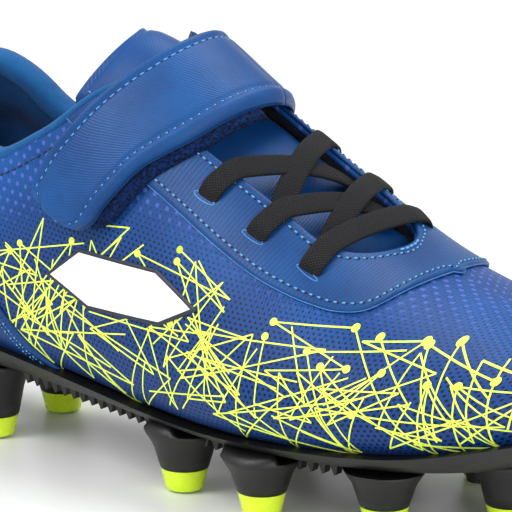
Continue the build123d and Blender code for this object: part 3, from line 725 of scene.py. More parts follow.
def sweep(name, points, normals, profile, scale_across=None, scale_up=None, closed_ends=True):
    """A closed tube: profile is (across, up) in millimetres, carried along points."""
    _, normal, across = frames(points, normals)
    count, ring = len(points), len(profile)
    wide = np.ones(count) if scale_across is None else scale_across
    tall = np.ones(count) if scale_up is None else scale_up
    a, b = np.array(profile).T
    body = (points[:, None, :] + across[:, None, :] * (a[None, :, None] * wide[:, None, None])
            + normal[:, None, :] * (b[None, :, None] * tall[:, None, None]))
    length = run_along(points)
    turn = np.concatenate([[0], np.cumsum(np.hypot(*np.diff(np.array(profile), axis=0).T))])
    uv = np.stack(np.broadcast_arrays(turn[None, :], length[:, None]), -1)
    vertices = list(body.reshape(-1, 3))
    flat_uv = list(uv.reshape(-1, 2))
    faces = grid_faces(count, ring, closed=True)
    if closed_ends:
        for end, start in ((0, 0), (count - 1, (count - 1) * ring)):
            centre = len(vertices)
            vertices.append(body[end].mean(0))
            flat_uv.append(uv[end].mean(0))
            for j in range(ring):
                k = (j + 1) % ring
                faces.append((start + k, start + j, centre) if end == 0 else (start + j, start + k, centre))
    obj = new_object(name, place(vertices), faces, flat_uv)
    return tidy(obj)


def oval(half_wide, half_tall, count=16, square=2.0):
    """Rounded profile; a higher square makes it flatter."""
    turn = 2 * math.pi * np.arange(count) / count
    return [(half_wide * math.copysign(abs(math.cos(t))**(2 / square), math.cos(t)),
             half_tall * math.copysign(abs(math.sin(t))**(2 / square), math.sin(t))) for t in turn]


def normal_at(x, turn, ridge=RIDGE):
    """Outward direction of the form."""
    step = 1e-3
    du = surface(x + step, turn, ridge=ridge) - surface(x - step, turn, ridge=ridge)
    dv = surface(x, turn + step, ridge=ridge) - surface(x, turn - step, ridge=ridge)
    out = np.cross(dv, du)
    return out / np.maximum(np.linalg.norm(out, axis=-1, keepdims=True), 1e-9)


def top_line(front_lateral, front_medial, count=150):
    """X and turn round the top line from the lace opening, round the heel, to the other side."""
    def run(front, side):
        x = HEEL_TOP_X + (front - HEEL_TOP_X) * np.linspace(0, 1, count)**1.7
        return x, turn_at_z(x, along(COLLAR_TOP, x), side)
    lateral_x, lateral_turn = run(front_lateral, LATERAL)
    medial_x, medial_turn = run(front_medial, MEDIAL)
    x = np.concatenate([lateral_x[::-1], medial_x[1:]])
    turn = np.concatenate([lateral_turn[::-1], medial_turn[1:]])
    return x, turn


def evenly(points, count):
    """The same path with evenly spaced points."""
    length = run_along(points[:, :3])
    at = np.linspace(0, length[-1], count)
    return np.stack([np.interp(at, length, points[:, k]) for k in range(points.shape[1])], 1)


def make_collar_roll():
    """The soft rolled binding over the padded top line."""
    x, turn = top_line(88.5, 86.5)
    path = surface(x, turn, 0.0)
    data = evenly(np.concatenate([path, x[:, None], turn[:, None]], 1), 260)
    path, x, turn = data[:, :3], data[:, 3], data[:, 4]
    out = normal_at(x, turn)
    pad = -collar_pad(x, path[:, 2])
    thick = -LINING_IN + pad + 0.7
    middle = path - out * (thick / 2 - 0.55)[:, None]
    across = frames(middle, out)[2]
    up = across * np.sign(across[:, 2:3] + 1e-9)
    slim = 1 - 0.55 * smooth((x - 44) / 20)
    middle = middle - up * (ROLL_HALF * slim - 0.5)[:, None]
    return sweep("collar_binding_roll", middle, out, oval(ROLL_HALF, 1.0, 18, 2.3), slim, thick / 2)


def make_collar():
    obj = make_collar_roll()
    return finish_piece(obj, BINDING_SOFT, "shoe", ("collar_binding",))


# ---------------------------------------------------------------- overlays

def between(x_a, turn_a, x_b, turn_b, low, high, name, count_across, base_ease=EASE, crown=0.0):
    """An overlay whose border lines are given point by point, laid on the form and softened at its edges."""
    width = np.linalg.norm(surface(x_a, turn_a) - surface(x_b, turn_b), axis=-1)
    length = float(np.linalg.norm(np.diff(surface((x_a + x_b) / 2, (turn_a + turn_b) / 2), axis=0), axis=1).sum())
    share = np.stack([spaced(count_across, w, base_ease) for w in width])
    x = x_a[:, None] + (x_b - x_a)[:, None] * share
    turn = turn_a[:, None] + (turn_b - turn_a)[:, None] * share
    side_distance = np.minimum(share, 1 - share) * width[:, None]
    drop = edge_drop(side_distance, base_ease)
    run = np.linspace(0, length, len(x_a))[:, None]
    drop = np.minimum(drop, edge_drop(np.minimum(run, length - run), base_ease))
    outer = surface(x, turn, low + (high - low) * drop + crown * np.sin(math.pi * share))
    inner = surface(x, turn, low)
    uv = np.stack([x, arc_uv(surface(x, turn), 1)], -1)
    return slab(name, outer, inner, uv)


def eyestay_lines(count=150):
    """Inner and outer border of the eyestay, from the outer side of the collar round the lace opening."""
    def half(side):
        front = THROAT_END - 0.02
        corner = 16.0 if side < 0 else 10.0
        a = np.linspace(88.6 if side < 0 else 86.4, front - corner, count // 3)
        b = front - corner * (1 - np.linspace(0, 1, count // 5)[1:])**2
        x_in = np.concatenate([a, b])
        turn_in = turn_at_y(x_in, opening_line(x_in, side))
        ex = np.array([p[0] for p in EYESTAY_EDGE])
        ez = np.array([p[1] for p in EYESTAY_EDGE])
        run = np.concatenate([[0], np.cumsum(np.hypot(np.diff(ex), np.diff(ez)))])
        inner_run = arc_uv(surface(x_in, turn_in)[None], 1)[0]
        goal = inner_run / inner_run[-1]
        knots = list(zip(run / run[-1], ex))
        x_out = along(knots, goal)
        z_out = along(list(zip(run / run[-1], ez)), goal)
        return x_in, turn_in, x_out, turn_at_z(x_out, z_out, side)
    near, far = half(LATERAL), half(MEDIAL)
    nose = 9
    share = np.linspace(0, 1, nose + 2)[1:-1]
    parts = []
    for k in range(4):
        bridge = near[k][-1] + (far[k][-1] - near[k][-1]) * share
        parts.append(np.concatenate([near[k], bridge, far[k][::-1]]))
    bow = np.sin(math.pi * share)
    middle = slice(len(near[0]), len(near[0]) + nose)
    parts[2][middle] += 1.2 * bow
    return parts


def make_eyestay():
    x_in, turn_in, x_out, turn_out = eyestay_lines()
    obj = between(x_in, turn_in, x_out, turn_out, GLUE, OVER, "eyestay_overlay", 22)
    return finish_piece(obj, OVERLAY_FILM, "shoe", ("eyestay",))


def make_eyestay_edge():
    """The pale cut edge round the outside of the eyestay."""
    _, _, x_out, turn_out = eyestay_lines()
    data = evenly(np.concatenate([surface(x_out, turn_out, GLUE + 0.35), normal_at(x_out, turn_out)], 1), 420)
    obj = sweep("eyestay_cut_edge", data[:, :3], data[:, 3:], oval(0.14, 0.2, 8))
    return finish_piece(obj, CUT_EDGE, "shoe", ())


def make_heel_overlay():
    """The heel's outside cover: its upper edge dips from the back to the arch."""
    parts = []
    for name, side in (("outer", LATERAL), ("inner", MEDIAL)):
        x = np.concatenate([4.0 * (1 - np.cos(np.linspace(0, math.pi / 2, 10))), np.linspace(4, 80, 60)[1:]])
        x[0] = 0.02
        top = turn_at_z(x, along(HEEL_OVERLAY_EDGE, x), side)
        low = turn_at_z(x, np.minimum(along(BAND_TOP, x), along(HEEL_OVERLAY_EDGE, x) - 0.6) - 1.0, side)
        width = np.linalg.norm(surface(x, top) - surface(x, low), axis=-1)
        share = np.stack([spaced(18, w) for w in width])
        gx = np.repeat(x[:, None], share.shape[1], 1)
        turn = top[:, None] + (low - top)[:, None] * share
        drop = edge_drop(share * width[:, None])
        outer = surface(gx, turn, GLUE + OVERLAY * drop)
        uv = np.stack([gx, arc_uv(surface(gx, turn), 1)], -1)
        parts.append(slab("heel_" + name, outer, surface(gx, turn, GLUE), uv))
    obj = join(parts, "heel_cover")
    tidy(obj, 2e-6)
    return finish_piece(obj, HEEL_FILM, "shoe", ("heel_overlay",))


def make_backstay():
    """The strip down the back of the heel."""
    z = np.linspace(24, 74, 50)
    x_mid = []
    for height in z:
        xs = np.linspace(0.0, 12, 241)
        top = surface(xs, np.full(xs.shape, math.pi / 2))[:, 2]
        inside = np.where(height <= top, 1, 0)
        x_mid.append(xs[np.argmax(inside)] if inside.any() else 12)
    y = np.linspace(-1, 1, 15)
    rows = []
    for height, start in zip(z, x_mid):
        half = 5.6
        line = []
        for share in y:
            side = LATERAL if share < 0 else MEDIAL
            xs = np.linspace(max(start, 0.0) + 1e-4, 9.5, 160)
            ys = surface(xs, turn_at_z(xs, np.full(xs.shape, height), side))[:, 1]
            line.append(float(np.interp(abs(share) * half, np.abs(ys - ys[0]), xs)))
        rows.append(line)
    x = np.array(rows)
    heights = np.repeat(z[:, None], len(y), 1)
    turn = np.where(y[None, :] < 0, turn_at_z(x, heights, LATERAL), turn_at_z(x, heights, MEDIAL))
    edge = np.minimum(np.minimum(y + 1, 1 - y) * 5.6, 99)[None, :]
    ends_z = np.minimum(z - z[0], z[-1] - z)[:, None]
    drop = np.minimum(edge_drop(edge), edge_drop(ends_z))
    low = OVER + GLUE
    outer = surface(x, turn, low + OVERLAY * drop)
    uv = np.stack([outer[..., 1] + 20, heights], -1)
    obj = slab("backstay_strip", outer, surface(x, turn, low - 0.1), uv)
    return finish_piece(obj, OVERLAY_FILM, "shoe", ("backstay",))


def shrink(outline, distance):
    """The outline moved inwards by distance."""
    points = np.array(outline, float)
    moved = []
    area = 0.5 * sum(a[0] * b[1] - b[0] * a[1] for a, b in zip(points, np.roll(points, -1, 0)))
    for before, here, after in zip(np.roll(points, 1, 0), points, np.roll(points, -1, 0)):
        one, two = here - before, after - here
        n1 = np.array([-one[1], one[0]]) / np.hypot(*one) * np.sign(area)
        n2 = np.array([-two[1], two[0]]) / np.hypot(*two) * np.sign(area)
        bisector = n1 + n2
        moved.append(here + bisector * distance / (1 + n1 @ n2))
    return np.array(moved)


def side_badge(name, outline, low, high, material, side=LATERAL):
    """A thin film with straight edges in the side view, laid on the wall."""
    points = np.array(outline, float)
    centre = points.mean(0)
    border = []
    for a, b in zip(points, np.roll(points, -1, 0)):
        for share in np.linspace(0, 1, 14)[:-1]:
            border.append(a + (b - a) * share)
    border = np.array(border)
    rings = [0.0, 0.25, 0.5, 0.7, 0.85, 0.94, 0.985, 1.0]
    grid = centre + (border[None] - centre) * np.array(rings)[:, None, None]
    x, z = grid[..., 0], grid[..., 1]
    turn = turn_at_z(x, z, side)
    count = len(border)
    height = np.full(x.shape, high)
    height[-1] = low + (high - low) * 0.5
    outer, inner = surface(x, turn, height), surface(x, turn, low)
    vertices = np.concatenate([outer.reshape(-1, 3), inner.reshape(-1, 3)])
    size = len(rings) * count
    faces = grid_faces(len(rings), count, 0, closed=True) + grid_faces(len(rings), count, size, True, True)
    edge = (len(rings) - 1) * count
    for j in range(count):
        k = (j + 1) % count
        faces.append((edge + j, edge + k, size + edge + k, size + edge + j))
    uv = np.concatenate([grid.reshape(-1, 2)] * 2)
    obj = new_object(name, place(vertices), faces, uv)
    tidy(obj)
    obj.data.materials.append(material)
    return obj


def make_side_mark():
    """A plain white six-sided flash with a dark rim."""
    rim = side_badge("flash_rim", MARK_OUTLINE, GLUE, GLUE + 0.35, MARK_DARK)
    field = side_badge("flash_field", shrink(MARK_OUTLINE, 0.9), GLUE + 0.3, GLUE + 0.62, MARK_WHITE)
    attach(rim, "shoe")
    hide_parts("side_mark")
    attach(field, "shoe")
    return rim, field


# ---------------------------------------------------------------- strap

STRAP_END = 6.5
FOLD_UP = np.array([math.sin(math.radians(STRAP_LEAN)), 0.0, math.cos(math.radians(STRAP_LEAN))])


def strap_turns(x, z, side, grow):
    widest, top = along(WIDEST, x), along(RIDGE, x)
    lift = np.clip((z - widest) / (top + grow - widest), 0, 1)
    turn = np.arcsin(lift**(along(SQUARENESS, x) / 2))
    return turn if side > 0 else math.pi - turn


def strap_drop(turn):
    """The strap lies on the loop patch on the outer side and straight on the upper on the inner side."""
    return -STRAP_DROP * smooth((np.cos(turn) + 0.8) / 1.6)


def strap_lines(margin, lines, grow):
    """For each share across the strap: x and turn from the outer end over the top to the inner end."""
    centre = np.array(STRAP_CENTRE, float)
    ahead = np.gradient(centre, axis=0)
    ahead /= np.linalg.norm(ahead, axis=1, keepdims=True)
    side_way = np.stack([ahead[:, 1], -ahead[:, 0]], 1)
    half = STRAP_WIDTH / 2 + margin
    found = []
    for share in lines:
        spread = STRAP_SPREAD * share**2 * smooth((centre[:, 1] - 66) / 14)
        offset = (2 * share - 1) * half
        line = centre + side_way * (offset + spread)[:, None]
        reach = (STRAP_END + margin) * (1 - abs(2 * share - 1)**3.2)**(1 / 2.0)
        start = line[0] - ahead[0] * reach
        knots = np.concatenate([[start], line])
        run = run_along(knots)
        run += np.arange(len(run)) * 1e-6
        at = np.linspace(0, run[-1], 700)
        x = along(list(zip(run, knots[:, 0])), at)
        z = along(list(zip(run, knots[:, 1])), at)
        top = along(RIDGE, x)
        over = np.argmax(z >= top + grow)
        x, z = x[:over], z[:over]
        x_top = x[-1]
        turn = strap_turns(x, z, LATERAL, grow)
        lateral = np.stack([x, turn], 1)
        medial = np.stack([x, math.pi - turn], 1)[::-1]
        both = np.concatenate([lateral, [[x_top, math.pi / 2]], medial])
        found.append(both)
    return found


def strap_grid(margin, low, high, rows, columns, from_share=0.0, to_share=1.0, ease=1.6):
    """Grid of x, turn, distance from the nearest long or end edge, and position along the strap."""
    shares = spaced(columns, STRAP_WIDTH + 2 * margin, ease)
    middle = (low + high) / 2
    xs, turns, edge, run_share = [], [], [], []
    at = np.linspace(0, 1, rows)
    near_end = np.array([0, 0.2, 0.5, 1.0, 1.6]) / 95
    at = np.unique(np.concatenate([near_end, at[1:-1], 1 - near_end]))
    for share, line in zip(shares, strap_lines(margin, shares, middle)):
        points = surface(line[:, 0], line[:, 1], middle, strap_drop(line[:, 1]))
        run = run_along(points)
        goal = at * run[-1]
        xs.append(np.interp(goal, run, line[:, 0]))
        turns.append(np.interp(goal, run, line[:, 1]))
        side_edge = min(share, 1 - share) * (STRAP_WIDTH + 2 * margin)
        edge.append(np.minimum(np.minimum(goal, run[-1] - goal) + 0.35 * side_edge, side_edge))
        run_share.append(goal)
    keep = (at >= from_share) & (at <= to_share)
    return (np.array(xs).T[keep], np.array(turns).T[keep], np.array(edge).T[keep], np.array(run_share).T[keep],
            shares)


def strap_map(run, shares):
    return np.stack([run, np.broadcast_to(shares * STRAP_WIDTH, run.shape)], -1)


def strap_relief(edge, shares):
    """A rolled border, a stitched channel inside it and a low crown."""
    roll = 0.3 * np.exp(-((edge - 1.1) / 0.7)**2)
    channel = -0.42 * np.exp(-((edge - 2.4) / 0.4)**2)
    crown = 0.45 * (1 - (2 * shares[None, :] - 1)**2)
    return roll + channel + crown


STRAP_SPLIT = 0.55


def make_strap():
    pieces = []
    for name, start, end in (("strap_outer_half", 0.0, STRAP_SPLIT), ("strap_inner_half", STRAP_SPLIT, 1.0)):
        x, turn, edge, run, shares = strap_grid(0.0, STRAP_LOW, STRAP_HIGH, 101, 34, start - 1e-9, end + 1e-9)
        height = STRAP_LOW + (STRAP_HIGH - STRAP_LOW) * edge_drop(edge, 1.3) + strap_relief(edge, shares)
        outer = surface(x, turn, height, strap_drop(turn))
        inner = surface(x, turn, STRAP_LOW, strap_drop(turn))
        uv = strap_map(run, shares)
        obj = slab(name, outer, inner, uv)
        pieces.append(finish_piece(obj, STRAP_FILM))
    outer_half, inner_half = pieces
    lateral = np.array([HINGE_LATERAL[0], 0, HINGE_LATERAL[1]])
    medial = np.array([HINGE_MEDIAL[0], 0, HINGE_MEDIAL[1]])
    fold_lateral = (place(lateral + FOLD_UP * 4.5), place(lateral - FOLD_UP * 4.5))
    fold_medial = (place(medial - FOLD_UP * 4.5), place(medial + FOLD_UP * 4.5))
    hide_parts("strap_tab_face", "strap_tab_hook", "strap_bridge_backing", "strap_bridge_face")
    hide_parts("strap_sewn_end_face", "strap_sewn_end_backing")
    return outer_half, inner_half, fold_lateral, fold_medial


def make_loop_patch():
    x, turn, edge, run, shares = strap_grid(3.4, LOOP_LOW, LOOP_HIGH, 121, 36, 0.035, 0.47, 0.7)
    behind = shares < 0.12
    x, turn, edge, run, shares = x[:, ~behind], turn[:, ~behind], edge[:, ~behind], run[:, ~behind], shares[~behind]
    rng = np.random.default_rng(5)
    fuzz = rng.normal(0, 0.09, x.shape)
    outer = surface(x, turn, LOOP_LOW + (LOOP_HIGH - LOOP_LOW) * edge_drop(edge, 0.7) + fuzz)
    inner = surface(x, turn, LOOP_LOW - 0.05)
    uv = strap_map(run, shares)
    obj = slab("loop_pile_patch", outer, inner, uv)
    return finish_piece(obj, LOOP_PILE, "shoe", ("loop_patch",))


def make_hook_pad():
    """The hook side, under the closing tab."""
    x, turn, _, run, shares = strap_grid(-1.6, 2.7, 3.0, 81, 22, 0.02, 0.27, 0.5)
    outer = surface(x, turn, STRAP_LOW + 0.05, strap_drop(turn))
    inner = surface(x, turn, 2.78, strap_drop(turn))
    uv = strap_map(run, shares)
    obj = slab("hook_pile_pad", outer, inner, uv)
    return finish_piece(obj, HOOK_PILE, "strap_tab", ())


# ---------------------------------------------------------------- tongue

def tongue_grid(rows, columns):
    """X and y of the tongue's grid: a rounded free end, wider where it lies under the upper."""
    cross = 2 * spaced(columns, 27, 2.2) - 1
    lengthwise = spaced(rows, 85, 2.2)
    rear = 70.5 + 8.5 * (1 - np.abs(cross)**1.7)
    x = rear[None, :] + (159.5 - rear[None, :]) * lengthwise[:, None]
    wide = smooth((x - 103.5) / 6.0)
    near = THROAT_NEAR + 0.45 - 5.5 * wide
    far = THROAT_FAR - 0.45 + 5.0 * wide
    y = (near + far) / 2 + (far - near) / 2 * cross[None, :]
    return x, y


def make_tongue():
    x, y = tongue_grid(110, 44)
    turn = turn_at_y(x, y, TONGUE_OUT, TONGUE_RIDGE)
    top = surface(x, turn, TONGUE_OUT, ridge=TONGUE_RIDGE)
    across = arc_uv(top, 1)
    lengthways = arc_uv(top, 0)
    side_edge = np.minimum(across, across[:, -1:] - across)
    end_edge = np.minimum(lengthways, lengthways[-1:] - lengthways)
    edge = np.minimum(side_edge, end_edge)
    channel = -0.55 * np.exp(-((edge - TONGUE_SEAM) / 0.5)**2)
    roll = 0.25 * np.exp(-((edge - 1.1) / 0.7)**2)
    puff = 0.35 * smooth((edge - TONGUE_SEAM - 0.2) / 4.0)
    height = TONGUE_OUT - 1.6 * (1 - edge_drop(edge, 2.2)) / 0.55 + channel + roll + puff
    sink = 0.8 * throat_sink(x, y)
    outer = surface(x, turn, height, ridge=TONGUE_RIDGE)
    outer[..., 2] -= sink
    low = TONGUE_OUT - TONGUE_THICK + 1.4 * (1 - edge_drop(edge, 2.2)) / 0.55
    inner = surface(x, turn, low, ridge=TONGUE_RIDGE)
    inner[..., 2] -= sink
    uv = np.stack([lengthways, across], -1)
    obj = slab("tongue_pad", outer, inner, uv)
    finish_piece(obj, TONGUE_FABRIC)
    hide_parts("tongue_face", "tongue_foam", "tongue_lining", "tongue_end_face", "tongue_end_foam",
                "tongue_end_lining")
    bend = (place((TONGUE_FOLD + 6, 0, 80)), place((TONGUE_FOLD - 6, 0, 80)))
    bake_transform(obj)
    return x, turn, edge, bend


# ---------------------------------------------------------------- laces

def lace_points(start, end, heights, count=70):
    """A run of the lace: straight in the plan view, at the heights given as (share, height)."""
    share = np.linspace(0, 1, count)
    x = start[0] + (end[0] - start[0]) * share
    y = start[1] + (end[1] - start[1]) * share
    lift = along(heights, share)
    turn = turn_at_y(x, y)
    points = surface(x, turn, lift)
    points[:, 2] -= 0.82 * throat_sink(x, y)
    for _ in range(6):
        points[2:-2] = (points[1:-3] + points[2:-2] * 2 + points[3:-1]) / 4
    return points, normal_at(x, turn)


def beyond(start, end, extra):
    """The end point moved further along the line from start."""
    size = math.dist(start, end)
    return tuple(e + (e - s) / size * extra for s, e in zip(start, end))


def lace_run(name, start, end, heights):
    points, normals = lace_points(start, end, heights)
    data = evenly(np.concatenate([points, normals], 1), 90)
    return sweep(name, data[:, :3], data[:, 3:], oval(LACE_WIDTH * LACE_HALF_SHARE, LACE_THICK / 2, 20, 3.2))


def make_laces():
    low, high = LACE_LOW + LACE_THICK / 2, LACE_HIGH + LACE_THICK / 2
    done = []
    for i in range(2):
        near, far = SLOTS_NEAR[i], SLOTS_FAR[i]
        run = [(0, -1.2), (0.03, low - 0.3), (0.1, low), (0.3, low + 0.1), (0.6, low - 0.4), (0.8, -0.8),
               (0.92, -3.0), (1, -4.8)]
        done.append((lace_run("lace_from_outer_slot_" + str(i + 1), near, beyond(near, UNDER_FAR[i], 4.5), run),
                     "lace_lateral_run_" + str(i + 1)))
        run = [(0, -1.4), (0.04, low - 0.5), (0.12, low - 0.3), (0.25, low + 0.3), (0.48, high - 0.1),
               (0.64, low - 0.4), (0.84, -2.0), (1, -5.0)]
        done.append((lace_run("lace_from_inner_slot_" + str(i + 1), far, beyond(far, UNDER_NEAR[i], 4.5), run),
                     "lace_medial_run_" + str(i + 1)))
    run = [(0, -1.2), (0.03, low - 0.3), (0.1, low), (0.3, low + 0.5), (0.6, low + 0.5), (0.88, low), (0.96, low - 0.3),
           (1, -1.4)]
    done.append((lace_run("lace_front_bar", SLOTS_NEAR[2], SLOTS_FAR[2], run), "lace_front_run"))
    for obj, node in done:
        finish_piece(obj, LACE_WEAVE, "shoe", (node,))


def make_slot_rims():
    """A pale cut edge round each lace slot."""
    rims = []
    for x, y in SLOTS_NEAR + SLOTS_FAR:
        side = -1 if y < 0 else 1
        turn = 2 * math.pi * np.arange(41) / 40
        px = x + (LACE_WIDTH / 2 + 0.2) * np.cos(turn)
        py = y - side * 0.5 + 0.45 * np.sin(turn)
        ring_turn = turn_at_y(px, py)
        points = surface(px, ring_turn, OVER + 0.02)
        rims.append(sweep("slot_rim", points, normal_at(px, ring_turn), oval(0.12, 0.1, 8)))
    obj = join(rims, "lace_slot_rims")
    return finish_piece(obj, CUT_EDGE, "shoe", ())


# ---------------------------------------------------------------- stitching, made by one node tree

def stitch_tree():
    """Geometry nodes: a rounded stitch every pitch along each line, turned with the line."""
    tree = bpy.data.node_groups.new("stitch_row", "GeometryNodeTree")
    face = tree.interface
    face.new_socket("Geometry", in_out="INPUT", socket_type="NodeSocketGeometry")
    for name, value in (("Pitch", 0.0022), ("Length", 0.0008), ("Width", 0.0003)):
        socket = face.new_socket(name, in_out="INPUT", socket_type="NodeSocketFloat")
        socket.default_value = value
    face.new_socket("Thread", in_out="INPUT", socket_type="NodeSocketMaterial")
    face.new_socket("Geometry", in_out="OUTPUT", socket_type="NodeSocketGeometry")

    def wire(kind, settings=(), **sources):
        node = tree.nodes.new(kind)
        for key, value in settings:
            setattr(node, key, value)
        for socket, source in sources.items():
            tree.links.new(source, node.inputs[socket])
        return node

    given = wire("NodeGroupInput").outputs
    curve = wire("GeometryNodeMeshToCurve", Mesh=given["Geometry"])
    spread = wire("GeometryNodeResampleCurve", [("mode", "LENGTH")], Curve=curve.outputs[0], Length=given["Pitch"])
    bead = wire("GeometryNodeMeshUVSphere")
    for socket, value in (("Segments", 8), ("Rings", 5), ("Radius", 1.0)):
        bead.inputs[socket].default_value = value
    tangent = wire("GeometryNodeInputTangent")
    turned = wire("FunctionNodeAlignEulerToVector", [("axis", "X")], Vector=tangent.outputs[0])
    size = wire("ShaderNodeCombineXYZ", X=given["Length"], Y=given["Width"], Z=given["Width"])
    copies = wire("GeometryNodeInstanceOnPoints", Points=spread.outputs[0], Instance=bead.outputs["Mesh"],
                  Rotation=turned.outputs[0], Scale=size.outputs[0])
    real = wire("GeometryNodeRealizeInstances", Geometry=copies.outputs[0])
    shaded = wire("GeometryNodeSetShadeSmooth", Geometry=real.outputs[0])
    coloured = wire("GeometryNodeSetMaterial", Geometry=shaded.outputs[0], Material=given["Thread"])
    wire("NodeGroupOutput", Geometry=coloured.outputs[0])
    return tree


STITCH_TREE = stitch_tree()


def set_inputs(modifier, **values):
    """Sets a modifier's named inputs by their sockets' identifiers."""
    for item in modifier.node_group.interface.items_tree:
        if item.item_type == "SOCKET" and item.in_out == "INPUT" and item.name in values:
            modifier[item.identifier] = values[item.name]


def stitches(name, runs, material, pitch=2.3, length=1.5, width=0.5):
    """Plain mesh of all the stitches along some lines of drawn points."""
    vertices, edges = [], []
    for run in runs:
        start = len(vertices)
        vertices += [tuple(p) for p in place(run)]
        edges += [(start + k, start + k + 1) for k in range(len(run) - 1)]
    mesh = bpy.data.meshes.new(name + "_lines")
    mesh.from_pydata(vertices, edges, [])
    lines = put_in_scene(name + "_lines", mesh)
    modifier = lines.modifiers.new("stitch_row", "NODES")
    modifier.node_group = STITCH_TREE
    set_inputs(modifier, Pitch=pitch / 1000, Length=length / 2000, Width=width / 2000, Thread=material)
    bpy.context.view_layer.update()
    seen = lines.evaluated_get(bpy.context.evaluated_depsgraph_get())
    plain = bpy.data.meshes.new_from_object(seen)
    lines.modifiers.remove(modifier)
    bpy.data.objects.remove(lines)
    obj = put_in_scene(name, plain)
    if not obj.data.materials:
        obj.data.materials.append(material)
    return obj


def seam(name, runs, material, pitch=1.95, length=1.3, width=0.46):
    """Stitches with small dark blobs between them, painted shade where each needle hole is."""
    hole_shade = []
    for run in runs:
        size = float(np.linalg.norm(np.diff(run, axis=0), axis=1).sum())
        dense = evenly(run, max(8, int(size / 0.25)))
        hole_shade.append(dense[int(pitch / 2 / 0.25):])
    light = stitches(name, runs, material, pitch, length, width)
    # painted shade: the dark blobs between the stitches stand for the shade inside each needle hole
    dark = stitches(name + "_holes", hole_shade, THREAD_DARK_AND_HOLE_SHADE, pitch, 0.85, width * 1.15)
    return join([light, dark], name)


def inset(x_a, turn_a, x_b, turn_b, distance, height):
    """The line at distance inside border a of an overlay that runs to border b."""
    width = np.linalg.norm(surface(x_a, turn_a) - surface(x_b, turn_b), axis=-1)
    share = np.clip(distance / np.maximum(width, 1e-6), 0, 0.45)
    return surface(x_a + (x_b - x_a) * share, turn_a + (turn_b - turn_a) * share, height)


def make_shoe_stitches():
    x_in, turn_in, x_out, turn_out = eyestay_lines()
    rows = [inset(x_out, turn_out, x_in, turn_in, 1.9, OVER + 0.08)[4:-4],
            inset(x_in, turn_in, x_out, turn_out, 2.2, OVER + 0.08)[3:-3]]
    blue = seam("eyestay_stitches", rows, THREAD_BLUE, 1.9, 1.2, 0.46)
    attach(blue, "shoe")
    front = slice(len(x_in) // 2 - 8, len(x_in) // 2 + 9)
    cord = [inset(x_in, turn_in, x_out, turn_out, 1.1, OVER + 0.1)[front]]
    heavy = stitches("throat_end_bartack", cord, THREAD_BLUE, 1.5, 1.5, 0.6)
    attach(heavy, "shoe")
    rows = []
    for side in (LATERAL, MEDIAL):
        x = np.linspace(6, 76, 90)
        for depth in (1.3, 2.6):
            height = along(HEEL_OVERLAY_EDGE, x) - depth * 1.25
            keep = height > along(BAND_TOP, x) + 0.8
            rows.append(surface(x[keep], turn_at_z(x[keep], height[keep], side), OVER + 0.08))
    heel = seam("heel_cover_stitches", rows, THREAD_BLUE, 2.1, 1.5, 0.42)
    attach(heel, "shoe")
    x, turn = top_line(75, 76)
    seam_turn = np.where(turn > math.pi / 2, turn_at_z(x, along(COLLAR_TOP, x) - 6.2, LATERAL),
                         turn_at_z(x, along(COLLAR_TOP, x) - 6.2, MEDIAL))
    collar = stitches("collar_seam_stitches", [surface(x, seam_turn, 0.12)], THREAD_DARK_AND_HOLE_SHADE, 2.0, 1.5, 0.5)
    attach(collar, "shoe")


def contour(grid_points, edge, distance, side_columns):
    """Line at a distance inside the border of a strap-like grid, on chosen columns' side."""
    line = []
    for row, far in zip(grid_points, edge):
        half = len(far) // 2
        part = slice(0, half) if side_columns == "rear" else slice(half, None)
        values, spots = far[part], row[part]
        order = np.argsort(values)
        if values.max() < distance:
            continue
        line.append([np.interp(distance, values[order], spots[order, k]) for k in range(3)])
    return np.array(line)


def make_strap_stitches(fold_lateral, fold_medial):
    made = []
    halves = (("strap_outer_stitches", 0.0, STRAP_SPLIT, ("strap", "strap_tab"), fold_lateral),
              ("strap_inner_stitches", STRAP_SPLIT, 1.0, ("shoe", "strap"), fold_medial))
    for name, start, end, bodies, fold in halves:
        x, turn, edge, _, _ = strap_grid(0.0, STRAP_LOW, STRAP_HIGH, 201, 40, start, end)
        points = surface(x, turn, STRAP_HIGH - 0.2, strap_drop(turn))
        rear = contour(points, edge, 2.4, "rear")
        front = contour(points, edge, 2.4, "front")
        if start == 0.0:
            loop = np.concatenate([rear[::-1], front])
        else:
            loop = np.concatenate([rear, front[::-1]])
        obj = seam(name, [loop], THREAD_BLUE, 2.1, 1.45, 0.4)
        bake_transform(obj)
        made.append(obj)
    return made


def make_tongue_stitches(x, turn, edge):
    points = surface(x, turn, TONGUE_OUT + 0.02, ridge=TONGUE_RIDGE)
    half = points.shape[1] // 2
    first = [i for i in range(len(points)) if edge[i].max() > TONGUE_SEAM and x[i, half] < 120]
    left = np.array([[np.interp(TONGUE_SEAM, edge[i, :half], points[i, :half, k]) for k in range(3)] for i in first])
    right = np.array([[np.interp(TONGUE_SEAM, edge[i, half:][::-1], points[i, half:, k][::-1]) for k in range(3)]
                      for i in first])
    obj = seam("tongue_stitches", [np.concatenate([left[::-1], right])], THREAD_BLUE, 2.0, 1.4, 0.42)
    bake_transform(obj)
    return obj


# ---------------------------------------------------------------- printed web of lines and dots

